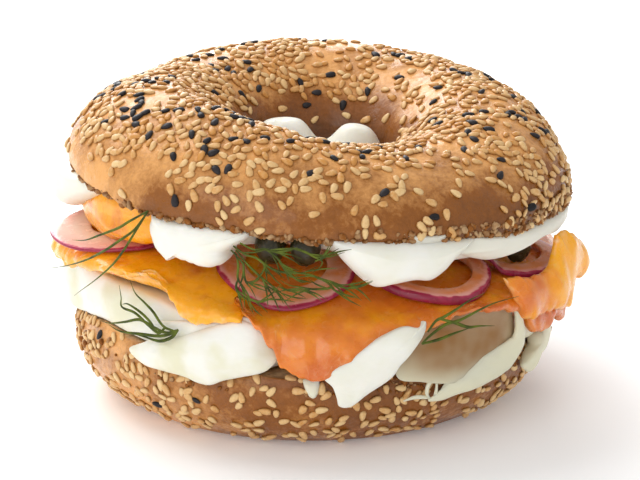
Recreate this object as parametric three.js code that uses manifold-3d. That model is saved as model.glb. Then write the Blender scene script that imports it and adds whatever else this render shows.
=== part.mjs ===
// A filled sesame bagel with cream cheese, smoked salmon, red onion, capers and dill.
// Millimetres, +Z up, standing on z = 0. Azimuth 0 is the front (-Y) and 90 the right side (+X).
import * as THREE from "three";
import { mergeVertices } from "three/addons/utils/BufferGeometryUtils.js";
import Module from "manifold-3d";

const wasm = await Module();
wasm.setup();

// Driving sizes of the bread
const BAGEL_RADIUS = 56;
const CROWN = {
  hole: 15.5, // radius of the hole at its narrowest
  height: 18.8,
  widest: 0.08, // share of the height where the wall is widest
  rimInset: 3.4,
  roundness: 2,
  cutHeight: 48.7, // the cut face at the axis, above the table
  x: 0.8,
  y: 0.2,
  tilt: 4.4, // degrees, left side up
  pitch: 1.7, // degrees, back up
};
const HEEL = { radius: 53.4, rim: 52.4, foot: 41.5, height: 17.9, hole: 14.5, footHole: 20, x: -1.2 };
const GAP = 0.3; // round a piece that is pressed into another
const LAYER_GAP = 0.45; // between layers that lie on each other
const SLACK = 0.9; // below the salmon, which lies loosely on the cream

// The crown's unevenness round the ring: [turns, cosine share, sine share] of its height and radius
const HEIGHT_WAVES = [[1, -0.115, -0.024], [2, -0.021, -0.09], [3, -0.027, -0.05]];
const RADIUS_WAVES = [[2, 0.014, -0.022], [3, -0.03, 0.004]];

// Driving sizes of the filling
const CREAM_UPPER_DEPTH = 6.5;
const ONION_THICKNESS = 1.9;
const SALMON_INNER = 3;
const KNEE = 25; // radius where the salmon starts to hang down
const SHOULDER = 55; // radius where it turns steeply down
const CENTRE_SHIFT = [-0.55, 0.88]; // puts the middle of the outer box over the origin

const rad = THREE.MathUtils.degToRad;
const lerp = THREE.MathUtils.lerp;
const smooth = (x, low, high) => THREE.MathUtils.smoothstep(x, low, high);

// Random numbers from a seed, always the same
function randomFrom(seed) {
  let state = seed;
  return () => {
    state = (state * 1664525 + 1013904223) % 4294967296;
    return state / 4294967296;
  };
}

// A point at a radius, an azimuth in degrees and a height
function at(radius, azimuth, height) {
  return new THREE.Vector3(radius * Math.sin(rad(azimuth)), -radius * Math.cos(rad(azimuth)), height);
}

// 1 plus a few cosine and sine waves round the ring
function waves(azimuth, terms) {
  return terms.reduce((sum, [turns, c, s]) => {
    const turn = rad(turns * azimuth);
    return sum + c * Math.cos(turn) + s * Math.sin(turn);
  }, 1);
}

// A smooth value round the ring through [azimuth, value] pairs, which are in order of azimuth
function around(pairs, azimuth) {
  const first = pairs[0][0];
  const turn = first + ((((azimuth - first) % 360) + 360) % 360);
  const next = pairs.findIndex(([a]) => a > turn);
  const [a1, v1] = next < 0 ? [first + 360, pairs[0][1]] : pairs[next];
  const [a0, v0] = next < 0 ? pairs[pairs.length - 1] : pairs[next - 1];
  return lerp(v0, v1, smooth(turn, a0, a1));
}

// Meshes and solids

// A closed mesh from rows of points: each row is a loop, and the rows join end to end or into poles
function skin(rows, { joined = false, poles = null } = {}) {
  const points = rows.flat();
  const n = rows[0].length;
  const index = [];
  const rowPairs = joined ? rows.length : rows.length - 1;
  for (let i = 0; i < rowPairs; i++) {
    const next = (i + 1) % rows.length;
    for (let j = 0; j < n; j++) {
      const k = (j + 1) % n;
      index.push(i * n + j, next * n + j, next * n + k, i * n + j, next * n + k, i * n + k);
    }
  }
  if (poles) {
    const last = (rows.length - 1) * n;
    points.push(...poles);
    for (let j = 0; j < n; j++) {
      const k = (j + 1) % n;
      index.push(points.length - 2, j, k, points.length - 1, last + k, last + j);
    }
  }
  const geometry = new THREE.BufferGeometry().setFromPoints(points);
  geometry.setIndex(index);
  return geometry;
}

// The middle of a loop of points
function middle(points) {
  const sum = points.reduce((total, p) => total.add(p), new THREE.Vector3());
  return sum.divideScalar(points.length);
}

// A geometry as a manifold-3d solid, turned round if its faces point inwards
function solid(geometry, matrix = new THREE.Matrix4()) {
  const bare = new THREE.BufferGeometry();
  bare.setAttribute("position", geometry.getAttribute("position").clone());
  bare.setIndex(geometry.index ? geometry.index.clone() : null);
  const merged = mergeVertices(bare, 1e-4).applyMatrix4(matrix);
  const vertProperties = new Float32Array(merged.attributes.position.array);
  const triVerts = new Uint32Array(merged.index.array);
  const made = new wasm.Manifold(new wasm.Mesh({ numProp: 3, vertProperties, triVerts }));
  if (made.volume() > 0) return made;
  for (let i = 0; i < triVerts.length; i += 3) {
    [triVerts[i + 1], triVerts[i + 2]] = [triVerts[i + 2], triVerts[i + 1]];
  }
  return new wasm.Manifold(new wasm.Mesh({ numProp: 3, vertProperties, triVerts }));
}

// A solid as a geometry, or only its largest body where a cut left scraps
function geometryOf(made) {
  const [largest] = made.decompose().sort((a, b) => b.volume() - a.volume());
  const mesh = largest.getMesh();
  const positions = new Float32Array(mesh.numVert * 3);
  for (let i = 0; i < mesh.numVert; i++) {
    positions.set(mesh.vertProperties.subarray(i * mesh.numProp, i * mesh.numProp + 3), i * 3);
  }
  const geometry = new THREE.BufferGeometry();
  geometry.setAttribute("position", new THREE.BufferAttribute(positions, 3));
  geometry.setIndex(new THREE.BufferAttribute(new Uint32Array(mesh.triVerts), 1));
  return geometry;
}

// A solid grown by moving each vertex out along its normal
function grown(made, distance) {
  const geometry = geometryOf(made);
  geometry.computeVertexNormals();
  const { position, normal } = geometry.attributes;
  for (let i = 0; i < position.count; i++) {
    position.setXYZ(
      i,
      position.getX(i) + distance * normal.getX(i),
      position.getY(i) + distance * normal.getY(i),
      position.getZ(i) + distance * normal.getZ(i),
    );
  }
  return solid(geometry);
}

// Bread

// Half the section of the crown at an azimuth, as [radius, height] from the cut face round to it again
function crownSection(azimuth, steps) {
  const { hole, height, widest, rimInset, roundness } = CROWN;
  const tall = height * waves(azimuth, HEIGHT_WAVES);
  const wide = waves(azimuth, RADIUS_WAVES);
  const middleRadius = (BAGEL_RADIUS + hole) / 2;
  const halfWidth = (BAGEL_RADIUS - hole) / 2;
  const section = [[BAGEL_RADIUS - rimInset, 0]];
  for (let i = 0; i <= steps; i++) {
    const turn = (Math.PI * i) / steps;
    const across = Math.sign(Math.cos(turn)) * Math.abs(Math.cos(turn)) ** (2 / roundness);
    const up = Math.sin(turn) ** (2 / roundness);
    section.push([middleRadius + halfWidth * across, tall * (widest + (1 - widest) * up)]);
  }
  section.push([hole + 1.5, 0]);
  section.push([middleRadius, 0]);
  return section.map(([r, z]) => [r * wide, z]);
}

// The section of the heel from its foot round the outer wall and the cut face to the hole's wall
function heelSection(steps) {
  const { radius, rim, foot, height, hole, footHole } = HEEL;
  const bend = 0.8;
  const section = [];
  for (let i = 0; i <= steps; i++) {
    const share = i / steps;
    const swell = Math.sin((Math.PI / 2) * Math.min(1, share / bend)) ** 0.75;
    const inset = share > bend ? (radius - rim) * ((share - bend) / (1 - bend)) ** 2 : 0;
    section.push([foot + (radius - foot) * swell - inset, share * height]);
  }
  section.push([(radius + hole) / 2, height], [hole + 1.2, height], [hole, 0.7 * height]);
  section.push([hole + 1, 0.3 * height], [footHole, 0], [(foot + footHole) / 2, 0]);
  return section;
}

// A ring of bread from its section at each azimuth
function breadRing(sectionAt, count) {
  const rows = Array.from({ length: count }, (_, i) => {
    const azimuth = (360 * i) / count;
    return sectionAt(azimuth).map(([r, z]) => at(r, azimuth, z));
  });
  return skin(rows, { joined: true });
}

// One sesame seed, a flattened drop lying in its own XY plane
function seedGeometry(size) {
  const profile = [[0, -1.65], [0.85, -0.7], [0.95, 0.4], [0, 1.65]];
  const points = profile.map(([x, y]) => new THREE.Vector2(x, y));
  const drop = new THREE.LatheGeometry(points, 5);
  return drop.scale(size, size, 0.75 * size);
}

// Seeds half sunk in the crust, in rows round the ring, as solids in the crust's frame.
// share(azimuth, along) is the chance that one is kept at that place.
function seedsOn(surface, { spacing, rows, span, seed, share }) {
  const random = randomFrom(seed);
  const made = [];
  for (let row = 0; row < rows; row++) {
    const start = surface(0, lerp(...span, (row + 0.5) / rows));
    const count = Math.round((2 * Math.PI * Math.hypot(start.x, start.y)) / spacing);
    for (let i = 0; i < count; i++) {
      const azimuth = (360 * (i + 0.7 * random() + 0.5 * (row % 2))) / count;
      const along = lerp(...span, (row + 0.15 + 0.7 * random()) / rows);
      const turn = 2 * Math.PI * random();
      const size = 0.92 + 0.2 * random();
      if (random() > share(azimuth, along)) continue;
      const p = surface(azimuth, along);
      const across = surface(azimuth + 0.5, along).sub(p).normalize();
      const up = surface(azimuth, along + 0.004).sub(p).normalize();
      const normal = new THREE.Vector3().crossVectors(across, up).normalize();
      const way = across.multiplyScalar(Math.cos(turn)).addScaledVector(up, Math.sin(turn));
      const side = new THREE.Vector3().crossVectors(way, normal).normalize();
      way.crossVectors(normal, side);
      const place = new THREE.Matrix4().makeBasis(side, way, normal);
      place.setPosition(p.addScaledVector(normal, 0.25));
      made.push(solid(seedGeometry(size), place));
    }
  }
  return made;
}

// A point on the crown's crust: along runs from the outer rim, 0, over the top to the hole, 1
function crownPoint(azimuth, along) {
  const section = crownSection(azimuth, 24);
  const place = along * 25;
  const i = Math.min(24, Math.floor(place));
  const [r0, z0] = section[i];
  const [r1, z1] = section[i + 1];
  return at(lerp(r0, r1, place - i), azimuth, lerp(z0, z1, place - i));
}

// A point on the heel's outer wall: along runs from the foot, 0, to the rim, 1
function heelPoint(azimuth, along) {
  const section = heelSection(20);
  const place = Math.min(19.999, along * 20);
  const i = Math.floor(place);
  const [r0, z0] = section[i];
  const [r1, z1] = section[i + 1];
  return at(lerp(r0, r1, place - i), azimuth, lerp(z0, z1, place - i));
}

// Levels between the layers

const crownPlace = new THREE.Matrix4()
  .makeRotationFromEuler(new THREE.Euler(rad(CROWN.pitch), rad(CROWN.tilt), 0, "YXZ"))
  .setPosition(CROWN.x, CROWN.y, CROWN.cutHeight);

// Height of the crown's cut face over a place
function cutFace(x, y) {
  const normal = new THREE.Vector3(0, 0, 1).transformDirection(crownPlace);
  return CROWN.cutHeight - (normal.x * (x - CROWN.x) + normal.y * (y - CROWN.y)) / normal.z;
}

// How far the salmon has sunk at its shoulder, and the level of the cream below it, round the ring
const SHOULDER_DROP = [[-90, 4], [-60, 4.2], [-42, 5], [-25, 7], [-8, 8.4], [10, 7.6], [28, 5.8], [53, 3.8],
  [72, 2], [100, 3], [180, 5]];
const CREAM_LEVEL = [[-90, 33], [-45, 32], [-12, 27], [30, 26.5], [60, 24], [90, 25], [135, 28], [180, 31],
  [225, 33]];
const CREAM_LEVEL_MIDDLE = 30.5;

// Top of the salmon: level under the crown, then bending down outside the knee
function salmonTop(radius, azimuth) {
  const p = at(radius, azimuth, 0);
  const level = cutFace(p.x, p.y) - CREAM_UPPER_DEPTH - ONION_THICKNESS - 2 * LAYER_GAP;
  const beyond = Math.max(0, radius - KNEE) / (SHOULDER - KNEE);
  return level - around(SHOULDER_DROP, azimuth) * beyond ** 1.5;
}

// Top of the lower cream, which the salmon lies on
function creamLevel(radius, azimuth) {
  return lerp(CREAM_LEVEL_MIDDLE, around(CREAM_LEVEL, azimuth), smooth(radius, 0, 42));
}

// Salmon: each slice is a wedge of the layer, with a flap that hangs down to [azimuth, radius, height]

const SLICES = {
  salmon_left: {
    from: -117, to: -17.4, thickness: 3,
    edge: [[-117, 57, 33], [-98, 58.5, 33], [-83, 59, 32.6], [-69, 58.5, 34.2], [-61, 57.5, 35.2],
      [-51, 56.5, 36.1], [-46, 56, 36.4], [-39, 55.8, 37.4], [-34, 56.2, 36], [-31.5, 57, 33.5],
      [-29, 57.5, 31.4], [-25, 57.8, 30.4], [-21, 57.5, 31.4], [-17.4, 57, 32.2]],
  },
  salmon_front: {
    from: -17, to: 49.6, thickness: 3,
    edge: [[-17, 57.2, 33.2], [-12, 57.8, 31], [-9, 58, 26.6], [-7, 58, 22.4], [-4.5, 58, 20], [0, 58, 18.8],
      [4, 58, 20], [8, 58, 22.5], [12, 58, 25], [17, 58, 27.3], [22, 58, 29], [28, 58.2, 30.8],
      [38, 58.4, 31.2], [49.6, 58.2, 28]],
  },
  salmon_right: {
    from: 50, to: 116.6, thickness: 3,
    edge: [[50, 57.5, 27], [55, 57.5, 22], [60, 57.4, 21.4], [65, 57.3, 23.4], [71, 57.2, 20.4], [80, 57.2, 18.8],
      [88, 57, 18.6], [95, 57, 21], [104, 57.5, 25], [116.6, 57.5, 29]],
  },
  salmon_back: {
    from: 117, to: 242.6, thickness: 3,
    edge: [[117, 58, 30], [128, 57.5, 26], [140, 57.5, 24], [150, 57.5, 28], [163, 57, 31.5], [178, 57.5, 29],
      [192, 57.5, 26.5], [205, 57.5, 30], [220, 57, 33.5], [232, 57, 31], [242.6, 57, 33]],
  },
};
// Folds of salmon that lie on the slices, by their outlines as [azimuth, height]
const FOLDS = {
  salmon_fold_right: {
    outline: [[51, 37], [58, 33], [69, 30.8], [74, 27.6], [84, 24.6], [94, 25], [101, 30], [96, 37], [85, 36.4],
      [78, 39], [62, 40]],
    radius: 58.2, bulge: 2.6, root: 1.6,
  },
  salmon_fold_left: {
    outline: [[-80, 42.5], [-66, 42.5], [-52, 43], [-43, 44], [-40, 47.5], [-46, 50], [-56, 51.4], [-66, 51],
      [-74, 46.6]],
    radius: 45, bulge: 7.6, root: 8,
  },
};

// Radius and height of a slice's free edge at an azimuth
function edgeAt(slice, azimuth) {
  const radii = slice.edge.map(([a, r]) => [a, r]);
  const heights = slice.edge.map(([a, , z]) => [a, z]);
  return [around(radii, azimuth), around(heights, azimuth)];
}

// A point on a quadratic curve between two ends, pulled to a corner
function bend(from, corner, to, share) {
  const rest = 1 - share;
  return [0, 1].map((i) => rest * rest * from[i] + 2 * rest * share * corner[i] + share * share * to[i]);
}

// Section of a slice at an azimuth, as [radius, height]: over the top and down the flap, then as many
// points back below it
function sliceSection(slice, azimuth) {
  const [edgeRadius, edgeHeight] = edgeAt(slice, azimuth);
  const inner = edgeRadius - slice.thickness;
  const bottom = (radius) => creamLevel(radius, azimuth) + SLACK;
  const turn = SHOULDER - 3;
  const above = [SALMON_INNER, KNEE, 40, turn].map((r) => [r, salmonTop(r, azimuth)]);
  const corner = [edgeRadius, lerp(salmonTop(turn, azimuth), edgeHeight, 0.25)];
  above.push(bend(above[3], corner, [edgeRadius, edgeHeight], 0.5));
  above.push([edgeRadius, edgeHeight + 0.6], [edgeRadius - 0.8, edgeHeight]);
  const root = [inner - 4, bottom(inner - 4)];
  const below = [[inner + 0.6, edgeHeight]];
  for (const share of [0.3, 0.65]) below.push(bend([inner, edgeHeight], [inner, root[1]], root, share));
  below.push(root, ...[36, 20, SALMON_INNER].map((r) => [r, bottom(r)]));
  return [...above, ...below];
}

// One slice of salmon from its first azimuth to its last
function salmonSlice(slice) {
  const count = Math.ceil((slice.to - slice.from) / 5.5);
  const rows = Array.from({ length: count + 1 }, (_, i) => {
    const azimuth = lerp(slice.from, slice.to, i / count);
    return sliceSection(slice, azimuth).map(([r, z]) => at(r, azimuth, z));
  });
  return cappedSkin(rows);
}

// A skin between two end loops, each closed by a ladder between the first and second half of its points
function cappedSkin(rows) {
  const geometry = skin(rows);
  const n = rows[0].length;
  const last = (rows.length - 1) * n;
  const index = [...geometry.index.array];
  for (let i = 0; i < n / 2 - 1; i++) {
    const [a, b, c, d] = [i, i + 1, n - 2 - i, n - 1 - i];
    index.push(a, b, c, a, c, d, last + a, last + c, last + b, last + a, last + d, last + c);
  }
  geometry.setIndex(index);
  return geometry;
}

// Cream cheese

// A soft lens of cream on an outline of [azimuth, height] points. It stands out from its base radius by
// bulge in the middle, its root reaches inwards, and it stays under the crown's cut face.
function dollop({ outline, radius, bulge, root, rings = 3, count = 13 }) {
  const loop = new THREE.CatmullRomCurve3(
    outline.map(([a, z]) => new THREE.Vector3(a, z, 0)), true, "catmullrom", 0.5,
  ).getPoints(count).slice(0, count);
  const centre = middle(loop);
  const ringAt = (share, r) => loop.map((p) => {
    const q = centre.clone().lerp(p, share);
    const point = at(r, q.x, q.y);
    return point.setZ(Math.min(point.z, cutFace(point.x, point.y) - LAYER_GAP));
  });
  const rows = [];
  for (let i = 1; i <= rings; i++) {
    const share = Math.sin((Math.PI / 2) * (i / rings));
    rows.push(ringAt(share, radius + bulge * Math.sqrt(1 - share ** 3)));
  }
  rows.push(ringAt(0.86, radius - root));
  return solid(skin(rows, {
    poles: [at(radius + bulge, centre.x, centre.y), at(radius - root, centre.x, centre.y)],
  }));
}

// Upper cream, in the crown's frame: a layer under the cut face, by its edge as [azimuth, radius]
const UPPER_EDGE = [[-96, 50], [-84, 51], [-70, 47], [-54, 43], [-40, 46], [-30, 50], [-14, 42], [-6, 38],
  [2, 42], [12, 50], [28, 52.5], [50, 53], [74, 53], [92, 52], [104, 48], [118, 52], [138, 53], [152, 50],
  [168, 47], [186, 52], [206, 53], [222, 50], [240, 47], [252, 49]];
const UPPER_DEPTH = [[-96, 5], [-78, 6.3], [-50, 5.5], [-14, 6], [28, 5.5], [50, 5], [74, 4], [100, 4],
  [128, 6.3], [156, 5], [196, 6.4], [230, 5]];
// Lumps of cream squeezed up into the hole: centre, height and width
const LUMPS = [
  { x: -8.8, y: 3.2, height: 10.4, width: 5.2 },
  { x: 8.2, y: 3.4, height: 10.8, width: 4 },
  { x: 0.5, y: -7, height: 3, width: 6 },
];
const MOUND_RADIUS = 14.7;

// Height of the cream in the hole
function moundHeight(radius, azimuth) {
  const p = at(radius, azimuth, 0);
  const rise = LUMPS.reduce((sum, lump) => {
    const away = ((p.x - lump.x) ** 2 + (p.y - lump.y) ** 2) / (2 * lump.width ** 2);
    return sum + lump.height * Math.exp(-away);
  }, 1.2);
  return rise * (1 - smooth(radius, 0.85 * MOUND_RADIUS, MOUND_RADIUS)) - LAYER_GAP;
}

// Section of the upper cream at an azimuth, from the middle of its underside to the middle of its top
function upperCreamSection(azimuth) {
  const edge = around(UPPER_EDGE, azimuth);
  const depth = around(UPPER_DEPTH, azimuth);
  const section = [[28, -CREAM_UPPER_DEPTH], [edge - 3, -depth], [edge - 0.4, -0.7 * depth]];
  section.push([edge - 0.3, -0.3 * depth], [edge - 2.5, -LAYER_GAP], [MOUND_RADIUS + 0.6, -LAYER_GAP]);
  for (const r of [MOUND_RADIUS, 13.2, 11, 7.5, 3.5]) section.push([r, moundHeight(r, azimuth)]);
  return section;
}

// A disc-like solid from its section at each azimuth, closed at the axis
function disc(sectionAt, count) {
  const azimuths = Array.from({ length: count }, (_, i) => (360 * i) / count);
  const sections = azimuths.map(sectionAt);
  const rows = sections[0].map((_, j) => sections.map((s, i) => at(s[j][0], azimuths[i], s[j][1])));
  const low = middle(rows[0]).setX(0).setY(0);
  const high = middle(rows[rows.length - 1]).setX(0).setY(0);
  return skin(rows, { poles: [low, high] });
}

// Lower cream: [azimuth, radius] of its edge
const LOWER_EDGE = [[-105, 53], [-88, 56], [-70, 55], [-50, 55], [-24, 55.4], [-10, 52.5], [8, 51], [20, 53],
  [30, 55], [46, 55], [52, 53], [60, 54.6], [70, 52.5], [90, 51.6], [112, 52.6], [134, 55], [148, 55],
  [164, 52], [180, 52], [200, 55], [216, 55], [232, 53]];

// Section of the lower cream at an azimuth, from the sag in the heel's hole to the top
function lowerCreamSection(azimuth) {
  const edge = around(LOWER_EDGE, azimuth);
  const floor = HEEL.height + LAYER_GAP;
  const top = (radius) => creamLevel(radius, azimuth);
  const rise = top(edge) - floor;
  return [
    [7, floor - 1.6], [11.4, floor], [20, floor], [edge - 2, floor], [edge, floor + 0.35 * rise],
    [edge - 0.4, floor + 0.75 * rise], [edge - 3, top(edge - 3)], [24, top(24)],
  ];
}

// Dollops squeezed out of the two layers, by their outlines as [azimuth, height]
const UPPER_DOLLOPS = [
  // far left
  { outline: [[-99, 48.4], [-95, 45.6], [-86, 44.5], [-77, 45.2], [-68, 47.6], [-60, 51], [-66, 53.5],
    [-78, 54], [-92, 53]], radius: 53, bulge: 4.6, root: 6 },
  // front left
  { outline: [[-38.5, 51.5], [-38.8, 47], [-35, 42.4], [-29, 41.6], [-22, 41], [-18.6, 44.2], [-14, 48.8],
    [-18, 51.5], [-24, 53], [-31, 53]], radius: 53, bulge: 5.4, root: 7 },
  // front
  { outline: [[2, 47.6], [5, 43.6], [9, 39.2], [12.5, 37.6], [19, 38.2], [26, 38], [30, 41], [35, 45.4],
    [33, 48.2], [24, 48.6], [13, 48.8]], radius: 53, bulge: 5.4, root: 7 },
  // right
  { outline: [[27, 45], [33, 41.6], [39, 40.2], [50, 41.2], [62, 41.2], [72, 42.4], [80, 45], [72, 47.4],
    [54, 48.4], [38, 48.6]], radius: 54, bulge: 3.6, root: 6 },
  // back
  { outline: [[112, 47], [116, 42.5], [124, 41], [134, 41.6], [142, 43], [147, 47], [138, 51], [122, 51]],
    radius: 53.4, bulge: 4.2, root: 6 },
  { outline: [[180, 50], [184, 45.5], [194, 43.6], [204, 44], [213, 46], [218, 50.5], [208, 54], [190, 54]],
    radius: 53.4, bulge: 4.6, root: 6 },
];
const LOWER_DOLLOPS = [
  // front left scoop
  { outline: [[-46, 20.8], [-38, 18], [-26, 16.4], [-15, 17.6], [-8.5, 20.4], [-7, 24.4], [-11, 30],
    [-16, 32], [-25, 29.4], [-36, 24.6]], radius: 55.6, bulge: 2, root: 0.3 },
  // right slab, smeared over the crust
  { outline: [[16, 19.4], [22, 28.5], [34, 30.6], [45, 32], [49.6, 25], [50.6, 18.4], [48, 13.6],
    [38, 12.6], [28, 10.4], [21, 13]], radius: 55.2, bulge: 1.8, root: 0.6 },
  // far right
  { outline: [[54, 24], [61, 23], [68, 22], [68.6, 18], [63, 12.4], [57, 11], [52.4, 14.5], [52.4, 20]],
    radius: 54.4, bulge: 3, root: 1 },
  // back
  { outline: [[128, 18], [134, 13.5], [142, 12], [150, 15], [156, 20], [150, 25], [138, 25], [130, 22]],
    radius: 54.8, bulge: 2.4, root: 0.6 },
  { outline: [[192, 19], [198, 15], [208, 14], [218, 16.5], [224, 21], [216, 26], [204, 27], [195, 24]],
    radius: 55.4, bulge: 2.2, root: 0.3 },
];
// The bright swoosh that lies in front of the salmon
const SWOOSH = {
  outline: [[0.8, 19], [6, 23.4], [12, 27.2], [17, 29.8], [21.5, 29.6], [21, 25.6], [15, 18.8], [10, 15.2],
    [6, 12.2], [3.4, 13.4], [4, 17.4]],
  radius: 58.4, bulge: 2.4, root: 2.4,
};

// Red onion: rings laid on the salmon, by centre, outer radius and width of the ring
const ONIONS = {
  onion_left: { x: -43, y: -16.5, radius: 16.2, width: 5.6 },
  onion_centre: { x: -6.3, y: -39.5, radius: 15.2, width: 6 },
  onion_middle_right: { x: 23.4, y: -35.6, radius: 14, width: 4.2 },
  onion_right: { x: 41.2, y: -17.6, radius: 12.4, width: 4.2 },
  onion_back_right: { x: 24, y: 36.5, radius: 15.5, width: 4.2 },
  onion_back_left: { x: -24, y: 38, radius: 15, width: 4.4 },
};

// A ring of onion bent over the salmon, lifted where it lies on the ring before it
function onionRing({ x, y, radius, width }, lift) {
  const count = 20;
  const rows = Array.from({ length: count }, (_, i) => {
    const turn = (2 * Math.PI * i) / count;
    const across = (r, up) => {
      const px = x + r * Math.cos(turn);
      const py = y + r * Math.sin(turn);
      const azimuth = THREE.MathUtils.radToDeg(Math.atan2(px, -py));
      const z = salmonTop(Math.min(Math.hypot(px, py), SHOULDER + 3), azimuth) + LAYER_GAP + lift(px, py) + up;
      return new THREE.Vector3(px, py, z);
    };
    const t = ONION_THICKNESS;
    return [across(radius, 0.5 * t), across(radius - 0.6, t), across(radius - width, t),
      across(radius - width, 0), across(radius - 0.6, 0)];
  });
  return skin(rows, { joined: true });
}

// Capers: azimuth, radius and height of their centres, and their size
const CAPERS = {
  caper_front_left: { azimuth: -13, radius: 42.6, height: 42.6, size: 3.4 },
  caper_front_right: { azimuth: -3, radius: 42.6, height: 42.4, size: 3.3 },
  caper_right: { azimuth: 62.5, radius: 45.5, height: 38.9, size: 3 },
  caper_back: { azimuth: 165, radius: 47, height: 44.2, size: 3.2 },
};

// A caper: a bud, a little longer than wide, with a blunt tip
function caperGeometry(size) {
  const profile = [[0, -1.12], [0.55, -0.95], [0.95, -0.35], [0.97, 0.2], [0.62, 0.82], [0.22, 1.1], [0, 1.25]];
  const points = profile.map(([x, y]) => new THREE.Vector2(x * size, y * size));
  return new THREE.LatheGeometry(points, 9);
}

// Dill: each frond is a thread through [azimuth, radius, height] points. The first is on the stem.
const DILL = {
  dill_left: [
    [[-38, 59.4, 50.4], [-41, 60.8, 48.6], [-47, 61.6, 45.8], [-58, 61.8, 41.5]],
    [[-38, 59.4, 50.4], [-42, 61, 45.8], [-49, 62, 40.7], [-60, 61.6, 35.3], [-77, 60.8, 30.1]],
    [[-40, 60.2, 48], [-45, 61.4, 41], [-52, 61, 34.5], [-59, 59.6, 28.9]],
  ],
  dill_low_left: [
    [[-29, 59, 27], [-33, 58.8, 25.3], [-39, 58.4, 25], [-51, 57.8, 25]],
    [[-29, 59, 27], [-35, 58.8, 26.8], [-42, 58.4, 26], [-51, 57.8, 25.4]],
    [[-31, 59, 26.4], [-34, 59.2, 31], [-38, 59, 34.4], [-42, 58.8, 38]],
    [[-34, 58.8, 25.4], [-38, 58.6, 29], [-43, 58.2, 30.6], [-44.5, 58.2, 34.2]],
    [[-29, 59, 27], [-33, 59, 24.2], [-38, 58.8, 23.2]],
  ],
  dill_centre: [
    [[-19, 57.6, 46.4], [-16, 58.6, 42], [-15, 59.2, 36], [-13.5, 59.8, 29.5]],
    [[-19, 57.6, 46.4], [-13, 58.4, 42.5], [-9, 59, 38], [-5, 59.6, 33.6]],
    [[-19, 57.6, 46.4], [-12, 57.6, 44.5], [-5, 57.6, 42], [2, 57.6, 39.6], [9, 58.2, 37.6]],
    [[-19, 57.6, 46.4], [-13, 57.4, 45.4], [-5, 56.8, 45.4], [1, 56.6, 43.4], [0, 57, 40.6], [-6, 57.8, 39.4]],
    [[-17.4, 58, 44.4], [-12, 58.8, 40], [-10.5, 59.4, 35], [-4.5, 59.6, 36]],
    [[-16, 58.4, 41.6], [-17.5, 59.2, 36.5], [-13, 59.7, 32.8], [-9, 59.8, 33.6]],
    [[-10, 57.7, 43.8], [-6, 58, 40.4], [1, 58.2, 37.2], [5, 58.2, 37.8]],
    [[-8, 57.7, 43.2], [-1, 57, 41.6], [3.5, 57, 46.2]],
  ],
  dill_right: [
    [[22.6, 61.4, 25.6], [26, 61.2, 31], [30, 61, 33.6], [35.5, 61, 35.6]],
    [[22.6, 61.4, 25.6], [28, 61.2, 30], [36, 61, 32.6], [45, 60.8, 33]],
    [[26, 61.2, 30.2], [31, 60.8, 28.8], [38, 60.6, 27.9]],
    [[22.6, 61.4, 25.6], [27, 61, 27], [32.5, 60.8, 28.6]],
  ],
};
const THREAD = 0.42; // half the thickness of a frond

// A dill sprig: its fronds as three-sided threads joined into one piece
function dillSprig(fronds) {
  const section = new THREE.Shape([
    new THREE.Vector2(THREAD, 0), new THREE.Vector2(-0.6 * THREAD, THREAD),
    new THREE.Vector2(-0.6 * THREAD, -THREAD),
  ]);
  const threads = fronds.map((frond) => {
    const path = new THREE.CatmullRomCurve3(frond.map(([a, r, z]) => at(r, a, z)));
    const steps = frond.length;
    return solid(new THREE.ExtrudeGeometry(section, { steps, extrudePath: path, bevelEnabled: false }));
  });
  return wasm.Manifold.union(threads);
}

// Assembly

const COLOURS = {
  crust: { color: 0xb9854f, roughness: 0.6, metalness: 0 },
  cream: { color: 0xf6f4ec, roughness: 0.45, metalness: 0 },
  salmon: { color: 0xe07a34, roughness: 0.35, metalness: 0 },
  onion: { color: 0xe3a5a0, roughness: 0.3, metalness: 0 },
  caper: { color: 0x4c4a36, roughness: 0.5, metalness: 0 },
  dill: { color: 0x5b6b25, roughness: 0.6, metalness: 0 },
};
const materials = Object.fromEntries(
  Object.entries(COLOURS).map(([name, look]) => [name, new THREE.MeshStandardMaterial({ name, ...look })]),
);

const bagel = new THREE.Group();
bagel.position.set(CENTRE_SHIFT[0], CENTRE_SHIFT[1], 0);
const top = new THREE.Group(); // what is tilted with the crown
top.applyMatrix4(crownPlace);
const bottom = new THREE.Group();
bottom.position.x = HEEL.x;
bagel.add(top, bottom);

function add(parent, name, material, geometry) {
  const mesh = new THREE.Mesh(geometry, materials[material]);
  mesh.name = name;
  parent.add(mesh);
}

const heelPlace = new THREE.Matrix4().makeTranslation(HEEL.x, 0, 0);
const unCrown = crownPlace.clone().invert();
const bareCrown = breadRing((azimuth) => crownSection(azimuth, 8), 44);
const bareHeel = breadRing(() => heelSection(5), 38);

// Onions, each lifted over the ones before it, and capers
const laid = [];
const onions = Object.entries(ONIONS).map(([name, ring]) => {
  const below = laid.slice();
  const lift = (px, py) => below.reduce((sum, other) => {
    const away = Math.hypot(px - other.x, py - other.y) - other.radius;
    return sum + (ONION_THICKNESS + GAP) * (1 - smooth(away, 0.4, 3.4));
  }, 0);
  laid.push(ring);
  return [name, solid(onionRing(ring, lift))];
});
const capers = Object.entries(CAPERS).map(([name, { azimuth, radius, height, size }]) => {
  const mesh = new THREE.Object3D();
  mesh.position.copy(at(radius, azimuth, height));
  mesh.rotation.set(rad(75), 0, rad(azimuth + 70), "ZXY");
  mesh.updateMatrix();
  return [name, solid(caperGeometry(size), mesh.matrix)];
});

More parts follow.
